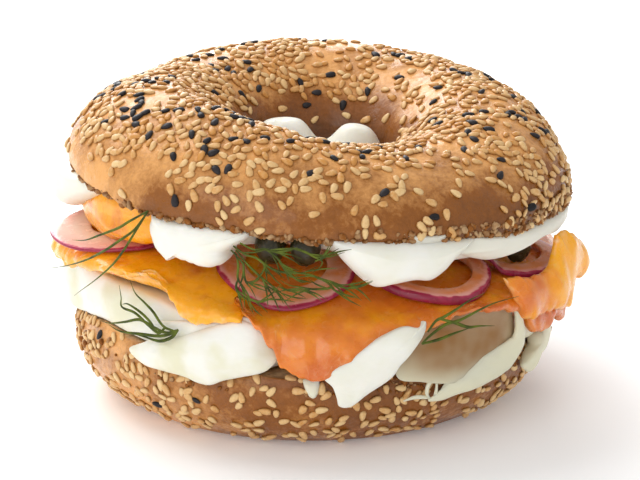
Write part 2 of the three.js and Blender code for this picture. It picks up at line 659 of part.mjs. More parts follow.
// The salmon gives way to the onions, and the cream to everything else
const cutBy = (made, tools) => tools.reduce((rest, tool) => rest.subtract(grown(tool, GAP)), made);
const toppings = [...onions, ...capers].map(([, made]) => made);
const plainSlices = Object.values(SLICES).map((slice) => solid(salmonSlice(slice)));
const slices = Object.keys(SLICES).map((name, i) => [name, cutBy(plainSlices[i], toppings)]);
const crownSolid = solid(bareCrown, crownPlace);
const heelSolid = solid(bareHeel, heelPlace);
const flatSalmon = slices.map(([, made]) => made);
for (const [name, fold] of Object.entries(FOLDS)) {
  slices.push([name, cutBy(dollop(fold), [...flatSalmon, ...toppings, crownSolid])]);
}
const sliceSolids = slices.map(([, made]) => made);
const folds = sliceSolids.slice(flatSalmon.length);
const swoosh = cutBy(dollop(SWOOSH), [...plainSlices, heelSolid]);
const upperCream = cutBy(
  [solid(disc(upperCreamSection, 36), crownPlace), ...UPPER_DOLLOPS.map(dollop)].reduce((a, b) => a.add(b)),
  [crownSolid, ...sliceSolids, ...toppings],
);
const lowerCream = cutBy(
  [solid(disc(lowerCreamSection, 36)), ...LOWER_DOLLOPS.map(dollop)].reduce((a, b) => a.add(b)),
  [heelSolid, ...plainSlices, ...folds, swoosh],
);
const sprigs = Object.entries(DILL).map(([name, fronds]) => [name, dillSprig(fronds)]);

// Seeds are kept where they are clear of the filling
const filling = [upperCream, lowerCream, swoosh, ...sliceSolids, ...toppings, ...sprigs.map(([, made]) => made)];
function withSeeds(crust, seeds, place) {
  const around = filling.map((made) => grown(made, GAP));
  const clear = seeds.filter((seed) => {
    const placed = seed.transform(place.toArray());
    return around.every((made) => placed.intersect(made).isEmpty());
  });
  return geometryOf(wasm.Manifold.union([solid(crust), ...clear]));
}

const crownSeeds = seedsOn(crownPoint, {
  spacing: 15.5, rows: 5, span: [0.06, 0.94], seed: 11,
  share: (azimuth, along) => (along < 0.2 || along > 0.8 ? 0.5 : 1),
});
const heelSeeds = seedsOn(heelPoint, { spacing: 22, rows: 2, span: [0.1, 0.95], seed: 5, share: () => 1 });

add(top, "crown", "crust", withSeeds(bareCrown, crownSeeds, crownPlace));
add(bottom, "heel", "crust", withSeeds(bareHeel, heelSeeds, heelPlace));
add(top, "cream_upper", "cream", geometryOf(upperCream).applyMatrix4(unCrown));
add(bagel, "cream_lower", "cream", geometryOf(lowerCream));
add(bagel, "cream_swoosh", "cream", geometryOf(swoosh));
for (const [name, made] of slices) add(bagel, name, "salmon", geometryOf(made));
for (const [name, made] of onions) add(bagel, name, "onion", geometryOf(made));
for (const [name, made] of capers) add(bagel, name, "caper", geometryOf(made));
for (const [name, made] of sprigs) add(bagel, name, "dill", geometryOf(made));

export default bagel;
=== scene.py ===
"""The looks of a filled sesame bagel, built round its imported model: crust, seeds, cream cheese, smoked
salmon, red onion, capers and dill, on a pale studio floor."""

import math
from types import SimpleNamespace

import bpy
import numpy as np
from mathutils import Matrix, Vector


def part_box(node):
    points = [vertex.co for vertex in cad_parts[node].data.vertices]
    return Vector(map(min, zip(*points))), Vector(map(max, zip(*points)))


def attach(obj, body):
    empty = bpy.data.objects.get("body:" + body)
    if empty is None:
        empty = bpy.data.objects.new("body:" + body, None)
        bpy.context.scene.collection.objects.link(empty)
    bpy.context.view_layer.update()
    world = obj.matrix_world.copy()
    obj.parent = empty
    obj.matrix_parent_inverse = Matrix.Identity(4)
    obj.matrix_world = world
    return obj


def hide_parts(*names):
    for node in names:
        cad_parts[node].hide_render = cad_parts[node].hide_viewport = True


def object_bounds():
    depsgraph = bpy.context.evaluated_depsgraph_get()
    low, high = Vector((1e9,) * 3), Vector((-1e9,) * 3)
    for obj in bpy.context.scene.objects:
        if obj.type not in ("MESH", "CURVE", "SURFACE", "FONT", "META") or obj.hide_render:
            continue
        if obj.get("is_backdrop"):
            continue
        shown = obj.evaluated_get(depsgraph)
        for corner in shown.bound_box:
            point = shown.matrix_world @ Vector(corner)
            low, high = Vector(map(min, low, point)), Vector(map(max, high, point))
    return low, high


bl_info = {
    "name": "Filled bagel",
    "version": (1, 0, 0),
    "blender": (4, 5, 0),
    "location": "3D View > Sidebar > Bagel",
    "description": "Builds the fine surfaces of a filled sesame bagel over its solid model",
    "category": "Add Mesh",
}

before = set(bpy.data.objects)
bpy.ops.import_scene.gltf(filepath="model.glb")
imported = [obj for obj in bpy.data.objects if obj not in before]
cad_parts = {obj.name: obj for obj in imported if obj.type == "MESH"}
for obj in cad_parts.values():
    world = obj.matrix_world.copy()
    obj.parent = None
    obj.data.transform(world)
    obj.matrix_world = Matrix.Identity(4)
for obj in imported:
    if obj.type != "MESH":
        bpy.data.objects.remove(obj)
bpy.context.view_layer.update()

# Sizes are in millimetres. Azimuth 0 is the front (-Y) and 90 the right side (+X).
MM = 0.001
SHIFT = np.array([-0.55, 0.88, 0.0])  # from the bread's own axis to the model's origin

# Bread
CROWN_RADIUS = 56
CROWN_HOLE = 15.5
CROWN_HEIGHT = 18.8
CROWN_WIDEST = 0.08
CROWN_RIM_INSET = 3.4
CROWN_CENTRE = np.array([0.8, 0.2, 48.7])
CROWN_TILT = math.radians(4.4)
CROWN_PITCH = math.radians(1.7)
HEIGHT_WAVES = [[1, -0.115, -0.024], [2, -0.021, -0.09], [3, -0.027, -0.05]]
RADIUS_WAVES = [[2, 0.014, -0.022], [3, -0.03, 0.004]]
CROWN_LIP = [[-120, 0], [-98, 2.2], [-74, 2.2], [-56, 0.8], [-40, 0], [90, 0]]
CROWN_HOLLOW = [[-112, 0], [-84, 1.6], [-60, 3.6], [-30, 4.4], [-8, 2.6], [20, 0], [248, 0]]
HEEL_RADIUS = 53.4
HEEL_RIM = 52.4
HEEL_FOOT = 41.5
HEEL_HEIGHT = 17.9
HEEL_HOLE = 14.5
HEEL_FOOT_HOLE = 20
HEEL_SHIFT = np.array([-1.2, 0, 0])
HEEL_LIP = [[-95, 0], [-78, 1.8], [-58, 4], [-44, 3], [-30, 0], [95, 0], [130, 1], [160, 0], [210, 1.2]]
CRUMB_SIZE = 1.25
CROWN_CRUMBS = 1300
HEEL_CRUMBS = 700
CROWN_SEED_SPACING = 1.5
HEEL_SEED_SPACING = 1.6
HEEL_BLACK_SHARE = 0.02

# Filling
LAYER_GAP = 0.45
CROWN_OVERLAP = 1.0  # how far the dollops reach up behind the crown's rim
CREAM_UPPER_DEPTH = 6.5
ONION_THICKNESS = 1.9
SALMON_INNER = 3
SLICE_THICKNESS = 2.46
KNEE = 25
SHOULDER = 55

# Studio, in metres but for the camera's target
FLOOR_RADIUS = 3
CAMERA_TARGET = Vector((0.26, 0.88, 32.49))


# Numbers and curves


def smooth(x, low, high):
    """Eased share of the way from low to high: 3t2 - 2t3, flat at both ends."""
    t = np.clip((x - low) / (high - low), 0, 1)
    return t * t * (3 - 2 * t)


def at(radius, azimuth, height):
    """Points at a radius, an azimuth in degrees and a height."""
    turn = np.radians(azimuth)
    parts = np.broadcast_arrays(radius * np.sin(turn), -radius * np.cos(turn), height)
    return np.stack(parts, -1)


def spots(line):
    """Points of a line of [azimuth, radius, height] rows."""
    return at(line[:, 1], line[:, 0], line[:, 2])


def waves(azimuth, terms):
    """1 plus a cosine and a sine wave round the ring for each term [turns, cosine share, sine share]."""
    turn = np.radians(azimuth)
    return 1 + sum(c * np.cos(n * turn) + s * np.sin(n * turn) for n, c, s in terms)


def around(pairs, azimuth):
    """A value round the ring, eased from each [azimuth, value] pair to the next."""
    marks = np.array(pairs, float)
    marks = np.vstack([marks, [marks[0, 0] + 360, marks[0, 1]]])
    turn = marks[0, 0] + np.mod(azimuth - marks[0, 0], 360)
    i = np.clip(np.searchsorted(marks[:, 0], turn, side="right") - 1, 0, len(marks) - 2)
    share = smooth(turn, marks[i, 0], marks[i + 1, 0])
    return marks[i, 1] + (marks[i + 1, 1] - marks[i, 1]) * share


def near(azimuth, middle, far, close):
    """1 within so many degrees close to an azimuth, eased to 0 so many far from it."""
    away = np.abs(np.mod(azimuth - middle + 180, 360) - 180)
    return smooth(away, far, close)


def relief(points, size, seed):
    """Smooth random relief from -1 to 1: random values on a cubic lattice, eased between its corners."""
    lattice = np.random.default_rng(seed).uniform(-1, 1, (32, 32, 32))
    cell = np.floor(points / size).astype(int)
    share = points / size - cell
    share = share * share * (3 - 2 * share)
    total = 0
    for corner in np.ndindex(2, 2, 2):
        place = np.mod(cell + corner, 32)
        weight = np.prod(np.where(np.array(corner) == 1, share, 1 - share), -1)
        total = total + weight * lattice[place[..., 0], place[..., 1], place[..., 2]]
    return total


def unit(vectors):
    """The vectors at length 1."""
    return vectors / np.linalg.norm(vectors, axis=-1, keepdims=True)


def cubic(p0, p1, p2, p3, share):
    """Catmull-Rom cubic from p1 to p2."""
    straight = (p2 - p0) * share
    bent = (2 * p0 - 5 * p1 + 4 * p2 - p3) * share**2 + (3 * p1 - p0 - 3 * p2 + p3) * share**3
    return 0.5 * (2 * p1 + straight + bent)


def smooth_loop(points, count):
    """A closed smooth line through the points, as count points: a Catmull-Rom cubic between each two."""
    p = np.asarray(points, float)
    place = np.arange(count) * len(p) / count
    i = place.astype(int)
    corners = [p[(i + k) % len(p)] for k in (-1, 0, 1, 2)]
    return cubic(*corners, (place - i)[:, None])


def smooth_line(points, count):
    """An open smooth line through the points, as count points."""
    p = np.asarray(points, float)
    p = np.vstack([2 * p[0] - p[1], p, 2 * p[-1] - p[-2]])
    place = np.linspace(0, len(p) - 3 - 1e-6, count)
    i = place.astype(int)
    corners = [p[i + k] for k in range(4)]
    return cubic(*corners, (place - i)[:, None])


def crown_place(points):
    """Points of the crown's own frame, tilted and lifted to where the crown lies."""
    ct, st = math.cos(CROWN_TILT), math.sin(CROWN_TILT)
    cp, sp = math.cos(CROWN_PITCH), math.sin(CROWN_PITCH)
    tilt = np.array([[ct, 0, st], [0, 1, 0], [-st, 0, ct]])
    pitch = np.array([[1, 0, 0], [0, cp, -sp], [0, sp, cp]])
    return points @ (tilt @ pitch).T + CROWN_CENTRE


def cut_face(x, y):
    """Height of the crown's cut face over a place."""
    base, end = crown_place(np.zeros(3)), crown_place(np.array([0, 0, 1.0]))
    normal = end - base
    return base[2] - (normal[0] * (x - base[0]) + normal[1] * (y - base[1])) / normal[2]


# Forms: points, faces and a value at each point for each finish


class Form:
    """A closed surface: points in millimetres, four- and three-sided faces, and named values there."""

    def __init__(self, points, quads, triangles, values=None):
        self.points = points
        self.quads = quads
        self.triangles = triangles
        self.values = values or {}
        halves = np.vstack([quads[:, [0, 1, 2]], quads[:, [0, 2, 3]], triangles])
        a, b, c = (points[halves[:, k]] for k in range(3))
        if np.einsum("ij,ij->i", a, np.cross(b, c)).sum() < 0:
            self.quads = quads[:, ::-1]
            self.triangles = triangles[:, ::-1]


def skin(points, joined=False, values=None):
    """A form over a grid of points [row, place]. Each row is a closed loop. The rows join end to end, or
    the first and last row are each closed by a fan from their middle."""
    rows, places = points.shape[:2]
    index = np.arange(rows * places).reshape(rows, places)
    flat = points.reshape(-1, 3)
    flat_values = {key: np.asarray(v, float).reshape(-1) for key, v in (values or {}).items()}
    fans = np.empty((0, 3), int)
    if joined:
        index = np.vstack([index, index[:1]])
    else:
        n = len(flat)
        first, last = index[0], index[-1]
        flat = np.vstack([flat, points[0].mean(0), points[-1].mean(0)])
        fans = np.vstack([
            np.stack([np.full(places, n), np.roll(first, -1), first], -1),
            np.stack([np.full(places, n + 1), last, np.roll(last, -1)], -1),
        ])
        for key, v in flat_values.items():
            flat_values[key] = np.append(v, [v[first].mean(), v[last].mean()])
    a, b = index[:-1], index[1:]
    quads = np.stack([a, np.roll(a, -1, 1), np.roll(b, -1, 1), b], -1).reshape(-1, 4)
    return Form(flat, quads, fans, flat_values)


def side_by_side(rows, *parts):
    """The stretches of a section next to each other, each as an array of so many rows."""
    return np.hstack([np.broadcast_to(part, (rows, np.shape(part)[-1])) for part in parts])


def together(forms):
    """Several forms as one. A value that a form lacks is 0 there."""
    starts = np.cumsum([0] + [len(form.points) for form in forms[:-1]])
    quads = np.vstack([form.quads + start for form, start in zip(forms, starts)])
    triangles = np.vstack([form.triangles + start for form, start in zip(forms, starts)])
    values = {
        key: np.concatenate([form.values.get(key, np.zeros(len(form.points))) for form in forms])
        for key in sorted({key for form in forms for key in form.values})
    }
    return Form(np.vstack([form.points for form in forms]), quads, triangles, values)


def surface_normals(points):
    """Outward unit normals of a grid of points that closes both ways, and the area that each point has."""
    along_rows = np.roll(points, -1, 0) - np.roll(points, 1, 0)
    along_places = np.roll(points, -1, 1) - np.roll(points, 1, 1)
    normal = np.cross(along_rows, along_places)
    area = np.linalg.norm(normal, axis=-1)
    return normal / np.maximum(area, 1e-9)[..., None], area / 4


def add_object(name, data):
    """A new object in the scene."""
    made = bpy.data.objects.new(name, data)
    bpy.context.scene.collection.objects.link(made)
    return made


def show(name, form, material, replaced=()):
    """Adds a form to the scene as a piece that rides on the bagel and stands for its solids."""
    mesh = bpy.data.meshes.new(name)
    points = (form.points + SHIFT) * MM
    mesh.from_pydata(points.tolist(), [], form.quads.tolist() + form.triangles.tolist())
    for key, values in form.values.items():
        attribute = mesh.attributes.new(key, "FLOAT", "POINT")
        attribute.data.foreach_set("value", values.astype(np.float32))
    mesh.shade_smooth()
    mesh.materials.append(material)
    piece = add_object(name, mesh)
    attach(piece, "root")
    if replaced:
        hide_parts(*replaced)


# Bread


def crown_section(azimuth, wall_steps):
    """Radius and height of the crown's section at each azimuth: out along the cut face, round the rim, a
    half ellipse over the top (radius = middle + half width x cos t, height = tall x (0.08 + 0.92 sin t)),
    down to the hole's rim and back along the cut face. The height and radius swell in waves."""
    tall = CROWN_HEIGHT * waves(azimuth, HEIGHT_WAVES)[:, None]
    wide = waves(azimuth, RADIUS_WAVES)[:, None]
    middle = (CROWN_RADIUS + CROWN_HOLE) / 2
    half = (CROWN_RADIUS - CROWN_HOLE) / 2
    turn = np.linspace(0, np.pi, wall_steps)
    rim = CROWN_RADIUS - CROWN_RIM_INSET
    under = np.sin(np.linspace(0, np.pi / 2, 9))[1:-1]
    face = np.linspace(middle, rim, 9)
    radius = np.concatenate([
        face, rim + CROWN_RIM_INSET * under, middle + half * np.cos(turn),
        np.linspace(CROWN_HOLE, CROWN_HOLE + 1.5, 4)[1:], np.linspace(CROWN_HOLE + 1.5, middle, 9)[1:-1],
    ])
    rise = np.concatenate([
        0 * face, CROWN_WIDEST * (1 - np.sqrt(1 - under**2)),
        CROWN_WIDEST + (1 - CROWN_WIDEST) * np.sin(turn), CROWN_WIDEST * np.array([0.6, 0.25, 0]),
        np.zeros(7),
    ])
    crust = np.concatenate([
        0 * face, smooth(under, 0.3, 1), np.ones(wall_steps), [0.8, 0.4, 0], np.zeros(7),
    ])
    rim_share = smooth(radius, 43, 52) * (1 - smooth(rise, 0.1, 0.5))
    lip = around(CROWN_LIP, azimuth)[:, None] * rim_share
    hollow = around(CROWN_HOLLOW, azimuth)[:, None] * smooth(radius, 38, 24) * smooth(rise, 0.3, 0.9)
    return wide * radius, tall * rise + lip - hollow, np.broadcast_to(crust, (len(azimuth), len(crust)))


def heel_section(azimuth, wall_steps):
    """Radius and height of the heel's section: up the outer wall, which swells as sin^0.75 and draws in a
    little at the rim, in over the cut face, down the hole's wall and out under the foot."""
    share = np.linspace(0, 1, wall_steps)
    swell = np.sin(np.pi / 2 * np.minimum(1, share / 0.8)) ** 0.75
    inset = (HEEL_RADIUS - HEEL_RIM) * np.maximum(0, (share - 0.8) / 0.2) ** 2
    outer = HEEL_FOOT + (HEEL_RADIUS - HEEL_FOOT) * swell - inset
    face = np.linspace(HEEL_RIM, HEEL_HOLE + 1.2, 24)[1:]
    hole = np.array([[HEEL_HOLE, 0.85], [HEEL_HOLE, 0.7], [HEEL_HOLE + 0.3, 0.5], [HEEL_HOLE + 1, 0.3],
                     [HEEL_HOLE + 2.4, 0.12], [HEEL_FOOT_HOLE, 0]])
    foot = np.linspace(HEEL_FOOT_HOLE, HEEL_FOOT, 12)[1:-1]
    radius = np.concatenate([outer, face, hole[:, 0], foot])
    height = HEEL_HEIGHT * np.concatenate([share, np.ones(len(face)), hole[:, 1], 0 * foot])
    lip = np.concatenate([smooth(share, 0.55, 1), smooth(face, 44, 51), np.zeros(6), 0 * foot])
    height = height + around(HEEL_LIP, azimuth)[:, None] * lip
    crust = np.concatenate([0 * share + 1, smooth(face, HEEL_RIM - 2, HEEL_RIM), np.ones(6), 1 + 0 * foot])
    crust[wall_steps - 1] = 0.7
    shape = (len(azimuth), len(radius))
    return np.broadcast_to(radius, shape), np.broadcast_to(height, shape), np.broadcast_to(crust, shape)


def heel_place(points):
    """Points of the heel's own frame where the heel lies."""
    return points + HEEL_SHIFT


def bread_ring(section, azimuths, wall_steps, place, seed):
    """A ring of bread: the section at each azimuth, with dents of 14 mm, blisters of 5 mm and pores of
    1.5 mm pushed along the normals, and a ragged line where the crust was cut. Returns its grid: the
    points, their normals and areas, and the crust's share, the azimuth and the radius there."""
    azimuth = np.linspace(0, 360, azimuths, endpoint=False)
    radius, height, crust = section(azimuth, wall_steps)
    points = at(radius, azimuth[:, None], height)
    normals, _ = surface_normals(points)
    torn = 4 * crust * (1 - crust)
    push = crust * (0.45 * relief(points, 14, seed) + 0.22 * relief(points, 5, seed + 1))
    push += crust * 0.06 * relief(points, 1.5, seed + 2)
    push += (1 - crust) * 0.22 * (relief(points, 1.3, seed + 3) - 0.6)
    push += torn * 0.7 * relief(points, 2.2, seed + 4)
    flat_foot = smooth(height, 0, 1.5) if section is heel_section else 1
    points = place(points + (push * flat_foot)[..., None] * normals)
    normals, area = surface_normals(points)
    outward = np.sign(np.sum((points - points.mean((0, 1))) * normals))
    return SimpleNamespace(
        points=points, normals=normals * outward, area=area, crust=crust,
        azimuth=np.broadcast_to(azimuth[:, None], crust.shape),
        radius=np.hypot(points[..., 0], points[..., 1]),
    )


def seed_form(length, width, thickness):
    """One sesame seed, a flattened drop: half width = sin(t)^0.85 x (1 - 0.28 cos t), blunt at one end."""
    t = (np.pi * np.arange(1, 5) / 5)[:, None]
    turn = 2 * np.pi * np.arange(8) / 8
    girth = np.sin(t) ** 0.85 * (1 - 0.28 * np.cos(t))
    x = 0.5 * width * girth * np.cos(turn)
    z = 0.5 * thickness * girth * np.sin(turn)
    y = np.broadcast_to(-0.5 * length * np.cos(t), x.shape)
    form = skin(np.stack([x, y, z], -1))
    form.points[-2:] = [[0, -0.5 * length, 0], [0, 0.5 * length, 0]]
    return form


def crumb_form(size, seed):
    """One crumb: a ball of seven by five faces, dented by relief."""
    t = np.pi * np.arange(1, 5) / 5
    turn = 2 * np.pi * np.arange(7) / 7
    ball = at(np.sin(t)[:, None], np.degrees(turn), np.cos(t)[:, None])
    form = skin(ball)
    form.points[-2:] = [[0, 0, 1], [0, 0, -1]]
    dent = 1 + 0.6 * relief(form.points, 0.7, seed)
    form.points = form.points * dent[:, None] * [0.5 * size, 0.4 * size, 0.32 * size]
    return form


def scatter(ring, density, spacing, count, rng):
    """Places for seeds on a ring of bread: drawn by area and density, each kept where it is at least the
    spacing away from those before it. Returns the chosen places in the flat grid."""
    chance = np.maximum(ring.area * density, 0).reshape(-1)
    drawn = rng.choice(len(chance), size=count, replace=False, p=chance / chance.sum())
    flat = ring.points.reshape(-1, 3)
    kept = np.zeros((0, 3))
    chosen = []
    for i in drawn:
        if not len(kept) or np.min(np.sum((kept - flat[i]) ** 2, 1)) > spacing**2:
            kept = np.vstack([kept, flat[i]])
            chosen.append(i)
    return np.array(chosen)


def strew(name, thing, ring, chosen, finish, rng, lift, lean, toast, spread=0.14):
    """Shows copies of a seed or crumb at chosen places of a ring of bread, turned at random, leaning a
    little, lifted by lift and as unequal as spread. Toast shifts their tint. Their undersides carry
    painted shade."""
    places, normals = ring.points.reshape(-1, 3)[chosen], ring.normals.reshape(-1, 3)[chosen]
    n, m = len(places), len(thing.points)
    up = unit(normals + rng.normal(size=(n, 3)) * np.asarray(lean).reshape(-1, 1))
    way = unit(np.cross(up, rng.normal(size=(n, 3))))
    basis = np.stack([np.cross(way, up), way, up], 1)
    size = 1 + spread * rng.uniform(-1, 1, n)
    local = thing.points[None] * size[:, None, None]
    placed = np.einsum("nmk,nkj->nmj", local, basis) + (places + lift * normals)[:, None]
    starts = (np.arange(n) * m)[:, None, None]
    values = {
        "tint": np.repeat(np.clip(rng.uniform(0, 0.8, n) + toast, 0, 1), m),
        # painted shade: 1 on the underside of each seed or crumb, where it meets the crust
        "sunk": np.tile(smooth(thing.points[:, 2], 0.3, -0.25), n),
    }
    quads = (thing.quads[None] + starts).reshape(-1, 4)
    triangles = (thing.triangles[None] + starts).reshape(-1, 3)
    show(name, Form(placed.reshape(-1, 3), quads, triangles, values), finish)


# Levels between the layers

SHOULDER_DROP = [[-90, 4], [-60, 4.2], [-42, 5], [-25, 7], [-8, 8.4], [10, 7.6], [28, 5.8], [53, 3.8],
                 [72, 2], [100, 3], [180, 5]]
CREAM_LEVEL = [[-90, 33], [-45, 32], [-12, 27], [30, 26.5], [60, 24], [90, 25], [135, 28], [180, 31],
               [225, 33]]
CREAM_LEVEL_MIDDLE = 30.5
SLACK = 0.9


def salmon_top(radius, azimuth):
    """Top of the salmon: level under the crown, then dropping as the 1.5th power of the way out."""
    p = at(radius, azimuth, 0)
    level = cut_face(p[..., 0], p[..., 1]) - CREAM_UPPER_DEPTH - ONION_THICKNESS - 2 * LAYER_GAP
    beyond = np.maximum(0, radius - KNEE) / (SHOULDER - KNEE)
    return level - around(SHOULDER_DROP, azimuth) * beyond**1.5


def cream_level(radius, azimuth):
    """Top of the lower cream, from its middle to its edge."""
    share = smooth(radius, 0, 42)
    return CREAM_LEVEL_MIDDLE + (around(CREAM_LEVEL, azimuth) - CREAM_LEVEL_MIDDLE) * share


# Salmon

SLICES = {
    "salmon_left": {
        "edge": [[-117, 57, 33], [-98, 58.5, 33], [-83, 59, 32.6], [-69, 58.5, 34.2], [-61, 57.5, 35.2],
                 [-51, 56.5, 36.1], [-46, 56, 36.4], [-39, 55.8, 37.4], [-34, 56.2, 36],
                 [-31.5, 57, 33.5], [-29, 57.5, 31.4], [-25, 57.8, 30.4], [-21, 57.5, 31.2],
                 [-15.6, 57.3, 31.6]],
        "fat": 1, "fade": 0.14,
    },
    "salmon_front": {
        "edge": [[-18.6, 52.5, 34], [-17, 54.6, 33.6], [-14.6, 57, 32.6], [-12, 57.8, 30.6],
                 [-9, 58, 26.6], [-7, 58, 22.2], [-4.5, 58, 20.4], [0, 58, 20], [4, 58, 20.6],
                 [8, 58, 22.5], [12, 58, 25], [17, 58, 27.3], [22, 58, 29], [28, 58.2, 30.8],
                 [38, 58.4, 31.2], [49.6, 58.2, 28]],
        "to": 50.4,
    },
    "salmon_right": {
        "edge": [[50, 57.5, 27], [55, 57.5, 22], [60, 57.4, 21.4], [65, 57.3, 23.4], [71, 57.2, 20.4],
                 [80, 57.2, 21.6], [88, 57, 20.6], [95, 57, 21], [104, 57.5, 25], [116.6, 57.5, 29]],
    },
    "salmon_back": {
        "edge": [[117, 58, 30], [128, 57.5, 26], [140, 57.5, 24], [150, 57.5, 28], [163, 57, 31.5],
                 [178, 57.5, 29], [192, 57.5, 26.5], [205, 57.5, 30], [220, 57, 33.5], [232, 57, 31],
                 [242.6, 57, 33]],
    },
}
# The right fold, between two lines of [azimuth, radius, height]
FOLD_LOWER = [[47.4, 57.6, 28.2], [49.6, 58.3, 26], [53, 58.8, 25.4], [57, 59, 25.6], [61, 59.2, 25],
              [65, 59.3, 24.4], [68.6, 59.4, 23.8], [69.6, 59.4, 26.6], [70.6, 59.5, 29.2],
              [75, 59.7, 28.6], [80, 59.9, 27], [84, 59.9, 26.8], [87, 59.4, 28.2]]
FOLD_UPPER = [[43.6, 57, 35.8], [46, 57.3, 35.4], [50, 58, 34.8], [54, 58.4, 34.2], [58, 58.7, 34.6],
              [60.6, 58.9, 36.4], [62, 59, 39], [63, 59.1, 41], [66, 59.2, 41.2], [69, 59.2, 40],
              [74, 59.4, 37.6], [80, 59.8, 35.2], [87, 59.4, 30]]
FOLD_LEFT = {
    "outline": [[-93, 44], [-86, 41.4], [-76, 39.8], [-64, 39.6], [-52.9, 40.6], [-42.3, 42.4],
                [-40, 47.5], [-44, 51.5], [-54, 52.6], [-66, 52], [-82, 49]],
    "radius": 48.6, "bulge": 4.6, "root": 9, "ragged": 0.5, "swirl": 0.7,
}


def salmon_slice(slice_, seed):
    """A slice of salmon: at each azimuth a closed section that runs out over the top, bends down in a
    quadratic curve to the flap's rounded edge, and back up inside it. The flap is waved by relief that
    is stretched downwards, and its edge is ragged and beaded with fat."""
    first, last = slice_["edge"][0][0], slice_["edge"][-1][0]
    last = slice_.get("to", last)
    count = int((last - first) / 0.4)
    azimuth = np.linspace(first, last, count)[:, None]
    edge = np.array(slice_["edge"], float)
    ring = at(57.0, azimuth, 0)
    edge_radius = around(edge[:, [0, 1]], azimuth)
    edge_height = around(edge[:, [0, 2]], azimuth)
    edge_height = edge_height + 0.55 * relief(ring, 2.6, seed) + 0.35 * relief(ring, 1.1, seed + 1)
    ends = smooth(azimuth, first, first + 1.2) * (1 - smooth(azimuth, last - 1.2, last))
    thickness = SLICE_THICKNESS * (0.35 + 0.65 * ends)

    def bend(start, corner, end, share):
        rest = 1 - share
        return [rest**2 * start[k] + 2 * rest * share * corner[k] + share**2 * end[k] for k in (0, 1)]

    turn = SHOULDER - 3
    flat_r = np.linspace(SALMON_INNER, turn, 44)[:-1]
    start = (turn, salmon_top(turn, azimuth))
    corner_height = start[1] + 0.25 * (edge_height - start[1])
    outer = np.linspace(0, 1, 34)
    outer_r, outer_z = bend(start, (edge_radius, corner_height), (edge_radius, edge_height), outer)
    lip, half = np.linspace(0, np.pi, 9)[1:-1], thickness / 2
    lip_r = edge_radius - half + half * np.cos(lip)
    lip_z = edge_height - 0.9 * half * np.sin(lip)
    inner = edge_radius - thickness
    root = (inner - 4, cream_level(inner - 4, azimuth) + SLACK)
    inner_r, inner_z = bend((inner, edge_height), (inner, root[1]), root, np.linspace(0, 1, 18))
    back_r = np.linspace(1, 0, 14)[1:] * (root[0] - SALMON_INNER) + SALMON_INNER
    back_z = cream_level(back_r, azimuth) + SLACK
    radius = side_by_side(count, flat_r, outer_r, lip_r, inner_r, back_r)
    height = side_by_side(count, salmon_top(flat_r, azimuth), outer_z, lip_z, inner_z, back_z)
    place = side_by_side(count, np.linspace(0, 0.5, 43), 0.5 + 0.5 * outer, np.ones(25), np.zeros(13))
    outside = side_by_side(count, np.zeros(43), smooth(outer, 0.15, 0.6), np.ones(7), np.zeros(31))
    points = at(radius, azimuth, height)
    stretched = points * [1, 1, 0.35]
    ripple = 0.75 * relief(stretched, 6.5, seed + 2) + 0.35 * relief(stretched, 2.4, seed + 3)
    beads = smooth(place, 0.8, 0.95) * np.maximum(0, relief(points, 1.7, seed + 4))
    calm = smooth(azimuth, first, first + 4) * (1 - smooth(azimuth, last - 4, last))
    push = outside * (ripple + slice_.get("fat", 0.35) * beads) * calm
    fat = slice_.get("fat", 0.3)
    # the gold value: above 0, on the left slice's edge, painted light coming through as a golden tint;
    # below 0 a deeper colour low on the other flaps and at the left slice's far end
    gold = (fat - 0.76) * 0.3 * smooth(place, 0.6, 0.9) * outside
    gold = gold - slice_.get("fade", 0) * smooth(azimuth, -92, -114)
    values = {"edge": fat * smooth(place, 0.8, 1), "bead": fat * beads * outside, "gold": gold}
    return skin(points + push[..., None] * at(1.0, azimuth, 0 * radius), values=values)


def salmon_sheet(lower, upper, seed, count=170):
    """A folded slice that stands on edge: at each azimuth a flat oval section from the lower line to the
    upper one, bellied and rippled, with ragged edges. To the right it turns golden, painted light coming
    through it."""
    low, high = smooth_line(lower, count), smooth_line(upper, count)
    turn = np.linspace(0, 2 * np.pi, 56, endpoint=False)[None]
    share = (1 - np.cos(turn)) / 2
    azimuth = low[:, :1] + (high[:, :1] - low[:, :1]) * share
    ring = at(low[:, 1], low[:, 0], 0.0)
    rough = (0.5 * relief(ring, 2.4, seed) + 0.35 * relief(ring, 1, seed + 1))[:, None]
    along = np.linspace(0, 1, count)[:, None]
    ends = smooth(along, 0, 0.06) * smooth(along, 1, 0.94)
    bottom = low[:, 2:] + ends * rough
    top = high[:, 2:] + 0.8 * ends * rough[::-1]
    middle = low[:, 1:2] + (high[:, 1:2] - low[:, 1:2]) * share + 1.1 * np.sin(np.pi * share) - 0.6
    side = np.sign(np.sin(turn)) * np.abs(np.sin(turn)) ** 0.5
    radius = middle + side * (0.4 + 0.9 * ends)
    points = at(radius, azimuth, bottom + (top - bottom) * share)
    wave = 0.9 * relief(points * [1, 1, 0.35], 5, seed + 2)
    wave = wave + 0.4 * relief(points * [1, 1, 0.5], 2.2, seed + 3)
    points = points + (ends * wave)[..., None] * at(1.0, azimuth, 0 * radius)
    rim = np.maximum(smooth(share, 0.8, 1), smooth(share, 0.2, 0)) * smooth(azimuth, 50, 66)
    rim = np.maximum(rim, smooth(along, 0.05, 0.01))
    # painted light: golden towards the right, light coming through
    values = {"edge": rim, "gold": 0.34 * smooth(azimuth, 52, 68) + 0 * share,
              "bead": 0.7 * rim * np.maximum(0, relief(points, 1.6, seed + 4))}
    return skin(points, values=values)


